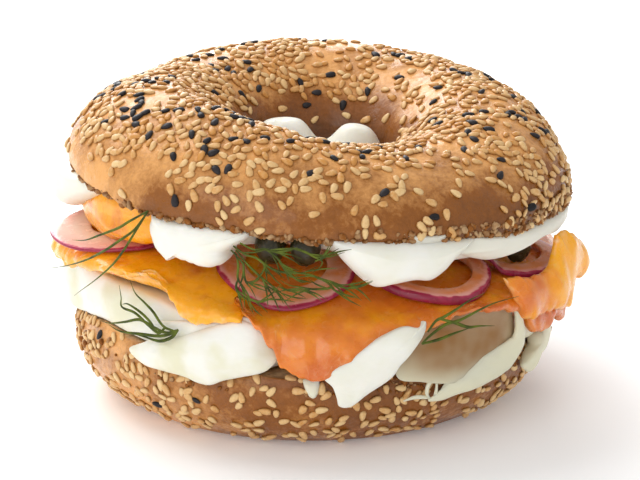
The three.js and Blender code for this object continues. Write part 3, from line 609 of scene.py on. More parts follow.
def dollop(outline, radius, bulge, root, seed, plump=3, ragged=0.0, swirl=0.25, ceiling=CROWN_OVERLAP,
           stain=None, thick=0.0):
    """A soft lens on an outline of [azimuth, height] points: radius + bulge x (1 - share^plump)^0.5 from
    its middle, 0, to its edge, 1, with slow swirls on its face. Its root reaches inwards, and its edge
    ends a little above the crown's cut face. The stain mark, partly staining by the filling and
    partly painted shade, is a bell curve round [azimuth, height], as wide and high as told, and as strong.
    Thick is painted shade: it turns the dollop to its finish's darker warm colour."""
    loop = smooth_loop(outline, 150)
    rim = at(radius, loop[:, 0], 0.0)
    loop[:, 1] = np.minimum(loop[:, 1], cut_face(rim[:, 0], rim[:, 1]) + ceiling)
    centre = loop.mean(0)
    if ragged:
        ring = at(radius, loop[:, 0], loop[:, 1])
        rough = ragged * (relief(ring, 2.1, seed) + 0.5 * relief(ring, 0.9, seed + 1))
        arm = (loop - centre) * [radius * math.pi / 180, 1]
        loop = loop + (loop - centre) * (rough / np.linalg.norm(arm, axis=1))[:, None]
    share = np.sin(np.pi / 2 * np.arange(1, 27) / 26)
    reach = np.concatenate([[0.01], share, [0.985, 0.9, 0.8]])
    places = centre + reach[:, None, None] * (loop - centre)
    stand = bulge * np.sqrt(1 - share**plump)
    stand = np.concatenate([[bulge], stand, [-0.35 * root, -0.9 * root, -root]])
    points = at(radius + stand[:, None], places[..., 0], places[..., 1])
    level = np.concatenate([[0], share, np.ones(3)])
    swell = swirl * relief(points * [1, 1, 1.8], 7, seed + 2) + 0.3 * swirl * relief(points, 3, seed + 3)
    push = (1 - level**6)[:, None] * swell
    points = points + push[..., None] * at(1.0, places[..., 0], 0 * push)
    values = {"edge": smooth(level, 0.7, 1)[:, None] + 0 * push, "thick": thick + 0 * push}
    if stain:
        azimuth, height, width, depth, strength = stain
        away = ((places[..., 0] - azimuth) / width) ** 2 + ((places[..., 1] - height) / depth) ** 2
        values["stain"] = strength * np.exp(-(away**2))
    return skin(points, values=values)


def smear(path, seed):
    """A soft ribbon of cream pressed on a surface: a flat ellipse carried along a smooth line through
    [azimuth, radius, height, width, thickness] points."""
    line = smooth_line(path, 90)
    centre = spots(line)
    outward = at(1.0, line[:, 0], 0.0)
    across = unit(np.cross(np.gradient(centre, axis=0), outward))
    turn = np.linspace(0, 2 * np.pi, 20, endpoint=False)[None, :, None]
    width, thick = np.moveaxis(np.maximum(0.1, line[:, 3:, None, None]) / 2, 1, 0)
    points = centre[:, None] + width * np.cos(turn) * across[:, None]
    points = points + thick * np.sin(turn) * outward[:, None]
    # painted shade: the ribbon takes the darker cream colour in full, with a faint stain
    values = {"stain": np.full(points.shape[:2], 0.06), "thick": np.ones(points.shape[:2])}
    return skin(points + 0.15 * relief(points, 1.8, seed)[..., None] * outward[:, None], values=values)


# Cream cheese

UPPER_EDGE = [[-96, 50], [-84, 51], [-70, 47], [-54, 43], [-40, 46], [-30, 50], [-14, 42], [-6, 38],
              [2, 42], [12, 50], [28, 52.5], [50, 53], [74, 53], [92, 52], [104, 48], [118, 52],
              [138, 53], [152, 50], [168, 47], [186, 52], [206, 53], [222, 50], [240, 47], [252, 49]]
UPPER_DEPTH = [[-96, 5], [-78, 6.3], [-50, 5.5], [-14, 6], [28, 5.5], [50, 5], [74, 4], [100, 4],
               [128, 6.3], [156, 5], [196, 6.4], [230, 5]]
LUMPS = [
    {"x": -8.6, "y": 3.4, "height": 9.8, "width": 8.4, "depth": 7},
    {"x": 7.6, "y": 4.4, "height": 9.2, "width": 6.6, "depth": 6.4},
    {"x": 0.5, "y": -7, "height": 2.6, "width": 8, "depth": 7},
]
MOUND_RADIUS = 15.1
LOWER_EDGE = [[-105, 53], [-92, 57], [-82, 57], [-70, 55], [-50, 54], [-24, 55.4], [-14, 53],
              [-8, 47.5], [4, 48], [12, 51], [20, 53], [30, 55], [46, 55], [52, 53], [60, 54.6],
              [70, 52.5], [90, 51.6], [112, 52.6], [134, 55], [148, 55], [164, 52], [180, 52],
              [200, 55], [216, 55], [232, 53]]
# A dollop's thick value paints shade on it. Its stain mark is partly staining by salmon and crust and
# partly painted shade.
UPPER_DOLLOPS = [
    # far left
    {"outline": [[-104, 50.5], [-101, 46], [-94, 43], [-86, 42.2], [-78, 43.6], [-71.2, 46],
                 [-64, 48.4], [-58, 51.6], [-60, 54.5], [-76, 56], [-94, 55.5], [-103, 54]],
     "radius": 53.8, "bulge": 5.2, "root": 6, "ceiling": 2.6, "stain": [-92, 46, 14, 8, 0.14],
     "thick": 1},
    # front left
    {"outline": [[-37.3, 51.4], [-37.8, 49.5], [-38.3, 47], [-37.2, 44], [-35.5, 42.3], [-33.5, 41.1],
                 [-32, 42.3], [-28.6, 41.8], [-26, 41.2], [-23.1, 41], [-20.4, 42], [-19.5, 43.4],
                 [-18.6, 45], [-15, 47.5], [-14.4, 49.4], [-14.8, 51.5], [-20, 54], [-30, 54]],
     "radius": 53.6, "bulge": 5, "root": 7, "ragged": 0.3, "swirl": 0.15},
    # front
    {"outline": [[3, 48], [4.6, 44.7], [7.6, 41.4], [10.2, 39], [12.7, 37.6], [15.9, 37.9], [21, 38.4],
                 [25.1, 38], [28.7, 39.8], [31, 41.8], [33, 43.2], [36, 45.5], [36.4, 48], [30, 50],
                 [17, 50], [8, 50]],
     "radius": 53.6, "bulge": 5, "root": 7, "swirl": 0.2},
    # right
    {"outline": [[29, 44], [33.5, 42], [37, 40.8], [39.9, 40], [42.9, 39.9], [48.6, 40.5], [54.8, 41.2],
                 [62.2, 41.2], [69.1, 40.6], [77.3, 41.2], [84, 42], [88, 45], [84, 50], [60, 50],
                 [40, 50]],
     "radius": 54, "bulge": 3.4, "root": 6, "stain": [50, 44, 40, 6, 0.1], "thick": 0.8},
    # pressed over the crown's rim
    {"outline": [[20, 47.6], [21.5, 45.8], [24.5, 44.8], [27.5, 45.2], [29.4, 46.6], [29.4, 48.2],
                 [27, 49.2], [23.5, 49.4], [20.8, 48.8]],
     "radius": 55.1, "bulge": 0.9, "root": 3, "ragged": 0.3, "ceiling": 2.2,
     "stain": [25, 47.6, 12, 8, 0.2], "thick": 1},
    # back
    {"outline": [[112, 47], [116, 42.5], [124, 41], [134, 41.6], [142, 43], [147, 47], [138, 51],
                 [122, 51]],
     "radius": 53.4, "bulge": 4.2, "root": 6},
    {"outline": [[180, 50], [184, 45.5], [194, 43.6], [204, 44], [213, 46], [218, 50.5], [208, 54],
                 [190, 54]],
     "radius": 53.4, "bulge": 4.6, "root": 6, "ragged": 0.3},
]
# Here too thick paints shade, and stain is partly staining and partly painted shade.
LOWER_DOLLOPS = [
    # front left, a shelf with the scoop in front of it
    {"outline": [[-38, 26.8], [-33.8, 28], [-27.5, 29], [-22.7, 29.6], [-16.4, 31.2], [-12.4, 30.6],
                 [-12.6, 28], [-24, 25], [-32.6, 22.6], [-38.1, 23.2]],
     "radius": 55.2, "bulge": 0.8, "root": 1, "stain": [-20, 31.4, 7, 2, 0.35]},
    {"outline": [[-45, 19.7], [-40.9, 22], [-37.7, 23.4], [-33.6, 24.3], [-29.2, 25.9], [-24.4, 28.1],
                 [-19.3, 30], [-15.8, 30.6], [-12.8, 29.8], [-11.2, 28.6], [-9.6, 27.6], [-8.8, 25.4],
                 [-8, 23.2], [-9.2, 21.3], [-11.4, 19.7], [-16.3, 18.3], [-20, 17.2], [-23, 15.9],
                 [-26, 16], [-29.4, 16.8], [-35.3, 17.1], [-40.4, 17.4]],
     "radius": 55.6, "bulge": 2.1, "root": 1, "plump": 2.4, "stain": [-9.6, 27, 3.4, 6, 0.3]},
    # front, a spot on the crust
    {"outline": [[-2.8, 17.8], [0.4, 17.9], [0.6, 15.4], [-0.4, 13.8], [-1.8, 14.6]],
     "radius": 53.4, "bulge": 0.9, "root": 0.6},
    # right slab, smeared over the crust
    {"outline": [[17.6, 18], [17, 24.4], [21, 28], [26.2, 29.8], [34, 30.6], [43.3, 31], [47.5, 29],
                 [49.2, 24.3], [51, 18.7], [48.3, 14.6], [40.2, 14.2], [30, 15], [23, 16.4]],
     "radius": 55.2, "bulge": 0.8, "root": 0.6, "swirl": 0.1, "stain": [33.6, 24.2, 19, 8.4, 1],
     "thick": 1},
    # far right
    {"outline": [[59, 24.4], [64, 25], [69.6, 22], [70.6, 18.2], [69, 15.7], [66, 13.8], [62.5, 13.4],
                 [60.9, 11.8], [58.4, 10.9], [55, 12.8], [56.6, 15], [59, 16.6], [59, 19], [61, 21.4]],
     "radius": 53.9, "bulge": 1.9, "root": 1, "ragged": 0.25, "stain": [59, 21, 5, 5, 0.35],
     "thick": 1},
    # far left, a thin flake that stands away
    {"outline": [[-96, 35.5], [-86, 37], [-74, 37.4], [-69, 34.4], [-74, 31], [-84, 29.4], [-95, 30]],
     "radius": 56.4, "bulge": 1, "root": 1, "ragged": 0.4},
    # back
    {"outline": [[128, 18], [134, 13.5], [142, 12], [150, 15], [156, 20], [150, 25], [138, 25],
                 [130, 22]],
     "radius": 54.8, "bulge": 2.4, "root": 0.6, "ragged": 0.3},
    {"outline": [[192, 19], [198, 15], [208, 14], [218, 16.5], [224, 21], [216, 26], [204, 27],
                 [195, 24]],
     "radius": 55.4, "bulge": 2.2, "root": 0.3, "ragged": 0.3},
]
# Smears: [azimuth, radius, height, width, thickness] along each
LOWER_SMEARS = [
    # the turned-up rim of the right slab
    [[46.8, 56.2, 30.2, 0.5, 0.6], [48.3, 56.6, 27.4, 1.6, 1.4], [49.2, 56.7, 24, 2.8, 1.8],
     [48.8, 56.4, 20.6, 4.8, 2], [45, 56, 18, 6.6, 2], [39.6, 55.6, 16.5, 6.8, 1.9],
     [35.2, 55.2, 15.2, 5.8, 1.7], [31.6, 54.8, 14, 4.2, 1.4], [28.6, 54.4, 12.4, 2.4, 1],
     [25.6, 54, 11.6, 0.6, 0.6]],
    # webs of cream between the seeds
    [[34, 55, 17.6, 1.8, 0.9], [30.6, 54.9, 18, 1.6, 0.8], [27.4, 54.8, 17.2, 1.2, 0.8],
     [25.4, 54.6, 15.6, 1, 0.7], [25, 54.3, 13.4, 0.8, 0.7], [26, 54, 11.9, 0.4, 0.4]],
    [[30.4, 54.9, 17.8, 0.8, 0.7], [29.9, 54.7, 15.8, 0.6, 0.6], [29, 54.3, 13.2, 1.4, 0.7]],
    [[27.4, 54.7, 17.2, 0.9, 0.7], [27.2, 54.5, 14.8, 0.5, 0.6], [27.4, 54.1, 12.4, 1.2, 0.7]],
    [[25.8, 54, 12.2, 0.7, 0.5], [22.6, 53.9, 12.7, 0.9, 0.6], [19.6, 53.8, 12.2, 0.3, 0.3]],
]
SWOOSH = {
    "outline": [[1.6, 20.2], [6.3, 23.2], [9.6, 25.6], [12.6, 27.6], [16.7, 29.4], [18.8, 29.7],
                [20.9, 29.3], [22.6, 30.4], [22.2, 27.7], [19.3, 23.7], [17.2, 21.6], [15.2, 19],
                [10.3, 15.9], [7.1, 13.5], [4.7, 13.6], [4.1, 15.6], [3.3, 17.8]],
    "radius": 58, "bulge": 1.5, "root": 2.4, "plump": 2.4, "swirl": 0.15,
}


def mound_height(radius, azimuth):
    """Height of the cream in the hole: a blunt bell, exp(-away^3.4), for each lump squeezed up into it."""
    p = at(radius, azimuth, 0)

    def away(lump):
        x, y = (p[..., 0] - lump["x"]) / lump["width"], (p[..., 1] - lump["y"]) / lump["depth"]
        return np.hypot(x, y)

    rise = 1.2 + sum(lump["height"] * np.exp(-(away(lump) ** 3.4)) for lump in LUMPS)
    return rise * (1 - smooth(radius, 0.93 * MOUND_RADIUS, MOUND_RADIUS)) - LAYER_GAP


def upper_cream_layer():
    """The cream under the crown: a disc whose edge bulges by half a sine wave, with mounds in the hole."""
    azimuth = np.linspace(0, 360, 300, endpoint=False)[:, None]
    edge, depth = around(UPPER_EDGE, azimuth), around(UPPER_DEPTH, azimuth)
    turn = np.linspace(0, np.pi, 22)[::-1]
    side_r = edge - 2.4 + 2.4 * np.sin(turn)
    side_z = -LAYER_GAP - (depth - LAYER_GAP) * (1 - np.cos(turn)) / 2
    under_r = np.linspace(3, edge[:, 0] - 2.6, 16, axis=1)
    cover_r = np.linspace(edge[:, 0] - 2.6, MOUND_RADIUS + 1, 12, axis=1)
    mound_r = np.linspace(MOUND_RADIUS + 0.6, 0.3, 46)
    mound_z = mound_height(mound_r, azimuth)
    radius = side_by_side(300, under_r, side_r, cover_r, mound_r)
    height = side_by_side(300, -depth + np.zeros(16), side_z, np.full(12, -LAYER_GAP), mound_z)
    points = at(radius, azimuth, height)
    swirl = 0.35 * relief(points, 5, 71) + 0.15 * relief(points, 2.2, 72)
    points[..., 2] += smooth(radius, MOUND_RADIUS, MOUND_RADIUS - 3) * (np.arange(96) > 49) * swirl
    out = side_by_side(300, np.zeros(16), np.sin(turn[::-1]), np.zeros(58))
    points += (out * 0.8 * relief(points, 6, 73))[..., None] * at(1.0, azimuth, 0 * radius)
    return skin(np.swapaxes(crown_place(points), 0, 1))


def lower_cream_layer():
    """The cream on the heel: a disc with a soft side wall, sagging a little into the heel's hole."""
    azimuth = np.linspace(0, 360, 400, endpoint=False)[:, None]
    edge = around(LOWER_EDGE, azimuth)
    floor = HEEL_HEIGHT + LAYER_GAP
    wall_floor = floor + around(HEEL_LIP, azimuth)
    turn = np.linspace(0, np.pi, 40)
    side_r = edge - 3 + 3 * np.sin(turn) ** 0.5
    side_z = wall_floor + (cream_level(edge, azimuth) - wall_floor) * (1 - np.cos(turn)) / 2
    under_r = np.concatenate([[1, 4, 7, 9, 11.4], np.linspace(14, 40, 8)])
    under_z = floor - 1.6 * (1 - smooth(under_r, 6, 11.4))
    floor_r = np.linspace(42, edge[:, 0] - 3.2, 6, axis=1)
    top_r = np.linspace(edge[:, 0] - 3.2, 1, 30, axis=1)
    radius = side_by_side(400, under_r, floor_r, side_r, top_r)
    height = side_by_side(400, under_z, np.full(6, floor), side_z, cream_level(top_r, azimuth))
    points = at(radius, azimuth, height)
    out = side_by_side(400, np.zeros(19), np.sin(turn), np.zeros(30))
    swell = 0.9 * relief(points * [1, 1, 0.5], 9, 81) + 0.25 * relief(points, 3.5, 82)
    points += (out * swell)[..., None] * at(1.0, azimuth, 0 * radius)
    return skin(np.swapaxes(points, 0, 1))


# Red onion

ONIONS = {
    "onion_left": {"x": -42.2, "y": -16.2, "radius": 15.2, "width": 8.4, "slice": 1, "wash": 0.12},
    "onion_centre": {"x": -6.3, "y": -36.6, "radius": 14.6, "width": 6, "slice": 1, "wash": 0.5},
    "onion_middle_right": {"x": 23.2, "y": -33, "radius": 13.6, "width": 3.9, "slice": 1.8, "wash": 0.5},
    "onion_right": {"x": 41, "y": -17.4, "radius": 12.2, "width": 4.2, "slice": 1.2, "wash": 0.5},
    "onion_back_right": {"x": 24, "y": 36.5, "radius": 15, "width": 4, "slice": 1.5, "wash": 0.35},
    "onion_back_left": {"x": -24, "y": 38, "radius": 14.6, "width": 4.2, "slice": 1.5, "wash": 0.35},
}


def onion_ring(ring, below, seed):
    """A ring of onion bent over the salmon: a flat section with rounded edges carried round a circle,
    lifted where it lies on the rings before it. Its outermost half millimetre is skin."""
    turn = np.linspace(0, 2 * np.pi, 150, endpoint=False)[:, None]
    side = np.linspace(0, 2 * np.pi, 36, endpoint=False)[None]
    half = ring["width"] / 2
    across = half * np.sign(np.cos(side)) * np.abs(np.cos(side)) ** 0.3
    up = ring["slice"] / 2 * (1 + np.sign(np.sin(side)) * np.abs(np.sin(side)) ** 0.55)
    circle = ring["radius"] * np.cos(turn), ring["radius"] * np.sin(turn), 0 * side
    uneven = 0.35 * relief(np.stack(np.broadcast_arrays(*circle), -1), 9, seed)
    r = ring["radius"] - half + across * (1 + 0.25 * uneven) + uneven
    x = ring["x"] + r * np.cos(turn)
    y = ring["y"] + r * np.sin(turn)
    lift = sum(
        (b["slice"] + 0.3) * (1 - smooth(np.hypot(x - b["x"], y - b["y"]) - b["radius"], 0.4, 3.4))
        for b in below
    )
    azimuth = np.degrees(np.arctan2(x, -y))
    z = salmon_top(np.minimum(np.hypot(x, y), SHOULDER + 3), azimuth) + LAYER_GAP + lift + up
    values = {"depth": half - across + 0 * z, "wash": ring["wash"] + 0.25 * smooth(x, -56, -26) + 0 * z}
    return skin(np.stack([x, y, z], -1), joined=True, values=values)


# Capers

CAPER_ROLL = np.array([2.9, -1.7, -1.8])
CAPERS = ("caper_front_left", "caper_front_right", "caper_right", "caper_back")


def caper_form(node, seed):
    """A caper: a bud a little longer than wide, wrinkled, in the middle of its solid's box. The right one
    is rolled out a little."""
    low, high = (np.array(corner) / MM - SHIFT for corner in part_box(node))
    centre, size = (low + high) / 2, (high - low) / 2
    if node == "caper_right":
        centre = centre + CAPER_ROLL
    t = (np.pi * np.arange(1, 19) / 19)[:, None]
    turn = np.linspace(0, 2 * np.pi, 28, endpoint=False)
    girth = np.sin(t) ** 0.9 * (1 - 0.12 * np.cos(t))
    bud = np.stack(np.broadcast_arrays(girth * np.cos(turn), girth * np.sin(turn), -np.cos(t)), -1)
    wrinkle = 0.05 * relief(bud, 0.35, seed) + 0.03 * np.cos(5 * turn)
    return skin(centre + 0.97 * bud * (1 + wrinkle[..., None]) * size)


# Dill: each frond runs through [azimuth, radius, height] points, from its stem

DILL = {
    "dill_left": [
        [[-35, 59.3, 52.3], [-39.3, 59.9, 49.6], [-42.3, 60.3, 47.6], [-47.3, 60.8, 45.2],
         [-51.9, 61.2, 43.1], [-56.8, 61.4, 42]],
        [[-35.2, 59.4, 51.9], [-38, 60.2, 48], [-41.4, 60.7, 45.3], [-45.5, 61.3, 42.3],
         [-51.8, 61.4, 38.8], [-60.4, 61.4, 35.3], [-72.5, 61.4, 31.3]],
        [[-35.2, 59.4, 51.9], [-37.7, 60.3, 47.6], [-40, 61.1, 43.6], [-43.1, 61.4, 39.8],
         [-48.5, 61.4, 35.3], [-56.7, 61.4, 29.7]],
    ],
    "dill_low_left": [
        [[-28.9, 58.4, 27.8], [-31.6, 58.4, 26.7], [-34.6, 58.4, 27.2], [-38.6, 58.4, 28.2],
         [-43, 58.4, 26.8], [-47.8, 58.4, 25.4], [-51, 58.4, 25.1]],
        [[-29.4, 58.4, 27.1], [-33.4, 58.4, 25.7], [-38.7, 58.4, 25.1], [-44.6, 58.4, 24.4],
         [-48.5, 58.4, 25]],
        [[-29.4, 58.4, 27.3], [-32.5, 58.4, 28], [-35, 58.4, 30.6], [-37.1, 58.4, 32.1],
         [-39.8, 58.4, 33.8], [-41.2, 58.4, 36.3]],
        [[-32.1, 58.4, 27.7], [-33.8, 58.4, 26.3], [-36.4, 58.4, 27.5], [-39.9, 58.4, 29.4],
         [-43.8, 58.4, 29.9], [-44, 58.4, 32], [-44.5, 58.4, 34.5]],
        [[-33.6, 58.4, 25.7], [-35.9, 58.4, 28.3], [-38.5, 58.4, 29.9], [-41.9, 58.4, 30.9],
         [-43.7, 58.4, 30.5]],
        [[-28.9, 58.4, 27.8], [-30.4, 58.4, 26], [-33.4, 58.4, 24.6], [-37.3, 58.4, 24.7],
         [-42.1, 58.4, 24.8]],
    ],
    "dill_centre": [
        [[-17.3, 57.3, 45.8], [-16.2, 57.4, 44.7], [-15.7, 57.7, 42.9], [-15.7, 58, 40.1],
         [-14.4, 58.3, 38.4], [-13.3, 58.5, 36.6], [-12.8, 58.8, 34.4], [-12.2, 58.9, 33.1]],
        [[-16.2, 57.4, 44.7], [-14.7, 57.6, 43.2], [-14.5, 57.9, 41.4], [-14, 58.1, 39.6],
         [-12.9, 58.3, 38.3], [-11.7, 58.5, 36.1]],
        [[-14, 58.1, 39.4], [-12.2, 58.1, 39.9], [-11.2, 58, 40.4]],
        [[-13.5, 58.5, 36.2], [-11.5, 58.6, 35.8], [-9.5, 58.5, 36.3], [-7.9, 58.4, 37]],
        [[-16.3, 57.3, 45.9], [-13.9, 57.6, 43.3], [-12.2, 57.8, 41.8], [-10.7, 58, 40.6],
         [-8.9, 58.1, 39.3], [-6.9, 58.3, 37.8], [-4.9, 58.5, 36.2]],
        [[-10.7, 58, 40.4], [-9.5, 58.2, 38.5], [-8.5, 58.4, 37.3]],
        [[-16.9, 57.2, 46.7], [-14.4, 57.4, 45.2], [-12.1, 57.4, 44.6], [-10.2, 57.6, 43.3],
         [-9.6, 57.8, 41.7], [-8.1, 57.9, 41.2]],
        [[-15.5, 57.1, 47.4], [-12.5, 57.2, 46.2], [-10.3, 57.2, 46.5], [-8.6, 57.3, 45.4],
         [-7.4, 57.5, 44.4], [-6.4, 57.7, 42.8], [-5.3, 57.9, 41.3], [-3.8, 57.9, 41], [-2, 57.9, 41.3],
         [-0.6, 57.9, 41.3]],
        [[-10.9, 57.2, 46.5], [-9.2, 57.2, 46.1], [-7, 57.3, 45.8], [-5, 57.3, 45.5],
         [-2.8, 57.4, 44.7]],
        [[-9.2, 57.2, 46.3], [-6.8, 57.2, 46.6], [-4.2, 57.2, 46.7], [-2.2, 57.2, 46.1],
         [-0.2, 57.4, 45.1], [1.2, 57.5, 44.3], [0.8, 57.6, 43.1], [-1, 57.8, 41.7]],
        [[-0.2, 57.5, 44.3], [1.4, 57.4, 44.9], [3, 57.3, 45.9], [4.6, 57.2, 46.8]],
        [[-12.1, 57.4, 44.6], [-10.4, 57.6, 43.5], [-8.6, 57.7, 42.5], [-6.7, 57.8, 42],
         [-4.8, 57.8, 41.9], [-2.8, 57.8, 41.9], [-1.2, 57.7, 42.5], [0.4, 57.6, 43.3]],
        [[-7.4, 57.5, 44], [-6.2, 57.7, 42.8], [-4.5, 57.9, 41.1], [-3, 58, 40.1], [-2, 58, 40]],
        [[-2.2, 57.9, 41.3], [-0.6, 57.9, 41.3], [1, 58, 40.7], [3, 58, 40.1], [4.7, 58.1, 39.5],
         [6.7, 58.1, 39.4], [8.7, 58.2, 39.1]],
        [[0.4, 57.9, 41.1], [2.6, 58.1, 39.7], [3, 58.2, 39.1], [1.8, 58.2, 38.7], [-1, 58.2, 38.7],
         [-3.3, 58.2, 39.1], [-5.3, 58.1, 39.4], [-7.1, 58, 40.4]],
        [[2.8, 58.1, 39.5], [3.4, 58.2, 38.7], [4.3, 58.3, 37.7]],
        [[-7.1, 58.2, 39], [-5.7, 58.2, 38.4], [-4.1, 58.3, 38.3], [-2.4, 58.2, 38.5],
         [-1, 58.2, 38.7]],
        [[3, 58.1, 39.9], [5.3, 58.2, 39], [7.7, 58.2, 38.5]],
        [[-15.7, 58, 40.1], [-16, 58.3, 38.2], [-14.9, 58.5, 36.7], [-13.1, 58.6, 35.8]],
    ],
    "dill_right": [
        [[21.8, 60.8, 29.1], [23.5, 60.8, 31.2], [25.2, 60.8, 31.8], [27.6, 60.8, 32.9],
         [31, 60.8, 34.5], [34.5, 60.8, 35.4]],
        [[20.6, 60.8, 26.7], [22.3, 60.8, 28.2], [25.5, 60.8, 30.1], [28.8, 60.8, 30.6],
         [33.4, 60.8, 32], [37.6, 60.8, 32.8], [43.7, 60.8, 32.8]],
        [[24.4, 60.8, 31.5], [27.6, 60.8, 30.2], [30.6, 60.8, 28.8], [33.5, 60.8, 28.5],
         [37.2, 60.8, 27.8]],
        [[20.6, 60.8, 26.7], [24.4, 60.8, 27.2], [27.7, 60.8, 28], [31.6, 60.8, 28.6]],
    ],
}
DILL_GIRTH = {"dill_left": 0.21, "dill_low_left": 0.27, "dill_centre": 0.19, "dill_right": 0.27}


def thread(line, thick):
    """A thin six-sided tube along a line of [azimuth, radius, height] rows, as thick as told and drawn to
    a point at its tip."""
    line = spots(line)
    forward = unit(np.gradient(line, axis=0))
    side = unit(np.cross(forward, line * [1, 1, 0]))
    other = np.cross(side, forward)
    share = np.linspace(0, 1, len(line))
    girth = thick * (0.75 + 0.5 * np.sin(np.pi * np.minimum(1, 1.2 * share))) * (1 - share**4) + 0.03
    turn = np.linspace(0, 2 * np.pi, 6, endpoint=False)[:, None]
    ring = np.cos(turn) * side[:, None] + 0.7 * np.sin(turn) * other[:, None]
    return skin(line[:, None] + girth[:, None, None] * ring)


def leaflets(line, thick, rng, count):
    """Side threads of a frond: each leaves it at a point of its own and turns away by 14 to 38 degrees."""
    made = []
    for start in rng.integers(4, len(line) - 6, count):
        way = line[start + 4] - line[start]
        turn = math.radians(rng.uniform(14, 38)) * rng.choice([-1, 1])
        length = rng.uniform(3.4, 6.4)
        share = np.array([0.0, 0.5, 1.0])
        angle = math.atan2(way[2], way[0]) + turn * (0.6 + 0.4 * share)
        step = np.stack([np.cos(angle), 0 * share + 0.06, np.sin(angle)], -1)
        made.append(thread(smooth_line(line[start] + (share * length)[:, None] * step, 14), 0.64 * thick))
    return made


# Finishes


class Finish:
    """A node material in the making. Sizes are in millimetres, and patterns read Object coordinates."""

    def __init__(self, name):
        self.material = bpy.data.materials.new(name)
        self.material.use_nodes = True
        self.tree = self.material.node_tree
        self.coordinates = self.node("TexCoord", "Object")

    def wire(self, value, socket):
        if isinstance(value, bpy.types.NodeSocket):
            self.tree.links.new(value, socket)
        else:
            socket.default_value = value

    def node(self, kind, output, inputs=None, **settings):
        made = self.tree.nodes.new("ShaderNode" + kind)
        for key, value in settings.items():
            setattr(made, key, value)
        for key, value in (inputs or {}).items():
            self.wire(value, made.inputs[key])
        return made.outputs[output]

    def set(self, **sockets):
        for key, value in sockets.items():
            self.wire(value, self.tree.nodes["Principled BSDF"].inputs[key.replace("_", " ")])

    def stretched(self, scale):
        return self.node("Mapping", "Vector", {"Vector": self.coordinates, "Scale": scale})

    def value(self, name):
        return self.node("Attribute", "Fac", attribute_name=name)

    def noise(self, size, detail=3.0, rough=0.55, vector=None, distortion=0.0):
        return self.node("TexNoise", "Fac", {
            "Vector": vector or self.coordinates, "Scale": 1 / (size * MM), "Detail": detail,
            "Roughness": rough, "Distortion": distortion})

    def cells(self, size):
        return self.node("TexVoronoi", "Distance", {"Vector": self.coordinates, "Scale": 1 / (size * MM)})

    def math(self, operation, a, b=0.5):
        return self.node("Math", 0, {0: a, 1: b}, operation=operation)

    def span(self, value, low, high, to_low=0.0, to_high=1.0):
        inputs = dict(enumerate((value, low, high, to_low, to_high)))
        return self.node("MapRange", "Result", inputs, interpolation_type="SMOOTHSTEP")

    def ramp(self, value, stops):
        node = self.tree.nodes.new("ShaderNodeValToRGB")
        elements = node.color_ramp.elements
        while len(elements) < len(stops):
            elements.new(1.0)
        for element, (place, colour) in zip(elements, stops):
            element.position = place
            element.color = (*colour[:3], 1)
        self.wire(value, node.inputs["Fac"])
        return node.outputs["Color"]

    def mix(self, share, a, b):
        a, b = (v if isinstance(v, bpy.types.NodeSocket) else (*v[:3], 1) for v in (a, b))
        return self.node("Mix", 2, {0: share, 6: a, 7: b}, data_type="RGBA")

    def bump(self, height, distance, strength=1.0, below=None):
        inputs = {"Strength": strength, "Distance": distance * MM, "Height": height}
        if below:
            inputs["Normal"] = below
        return self.node("Bump", "Normal", inputs)


def shade(colour, share):
    """A colour made darker, under 1, or lighter."""
    return tuple(min(1.0, c * share) for c in colour[:3])


def crust_finish(look):
    """Baked crust, pale to dark brown by its bake value and blotches, with fine pores and
    dull gloss. That value carries painted light and painted shade as well as the crust's own toast. The
    cut crumb is pale and open."""
    f = Finish("Crust")
    blotch = f.noise(9, 4, 0.6)
    grain = f.noise(1.1, 3, 0.7)
    bake = f.math("ADD", f.value("bake"), f.span(blotch, 0.3, 0.7, -0.16, 0.16))
    bake = f.math("ADD", bake, f.span(grain, 0.3, 0.7, -0.07, 0.07))
    # the ramp's pale and dark ends also show the painted light and painted shade in that value
    baked = f.ramp(bake, [(0.0, look.crust_pale), (0.45, look.crust_golden), (1.0, look.crust_dark)])
    crumb = f.mix(f.span(f.noise(1.4, 2), 0.35, 0.65), shade(look.crumb, 0.7), look.crumb)
    pores = f.bump(f.cells(0.9), 0.14, 0.4)
    skin_bump = f.bump(f.noise(2.2, 5, 0.7), 0.6, 0.6, pores)
    f.set(Base_Color=f.mix(f.value("crust"), crumb, baked), Normal=skin_bump)
    glaze = f.span(f.noise(6, 3, 0.6), 0.42, 0.58, 0.0, 0.3)
    dull = f.math("ADD", f.math("ADD", grain, glaze), f.math("SUBTRACT", 1.0, f.value("crust")))
    f.set(Roughness=f.span(dull, 0.3, 1.0, 0.24, 0.75), Specular_IOR_Level=0.3)
    f.set(Coat_Weight=0.3, Coat_Roughness=0.2)
    return f.material


def seed_finish(name, pale, toasted, rough, gloss):
    """Sesame seed: from pale to toasted from seed to seed, with a faint mottle, painted shade of dark
    brown on its underside, and a soft gloss.
    """
    f = Finish(name)
    mottle = f.span(f.noise(0.8, 2), 0.3, 0.7, -0.15, 0.15)
    tint = f.math("ADD", f.value("tint"), mottle)
    half = tuple((a + b) / 2 for a, b in zip(pale, toasted))
    top = f.ramp(tint, [(0.0, pale), (0.6, half), (1.0, toasted)])
    # painted shade: the underside turns a darker toasted brown
    f.set(Base_Color=f.mix(f.value("sunk"), top, shade(toasted, 0.55)))
    f.set(Roughness=f.span(f.noise(0.6, 1), 0.3, 0.7, rough, rough + 0.14))
    f.set(Normal=f.bump(f.noise(0.35, 2), 0.06, 0.4), Specular_IOR_Level=gloss)
    return f.material


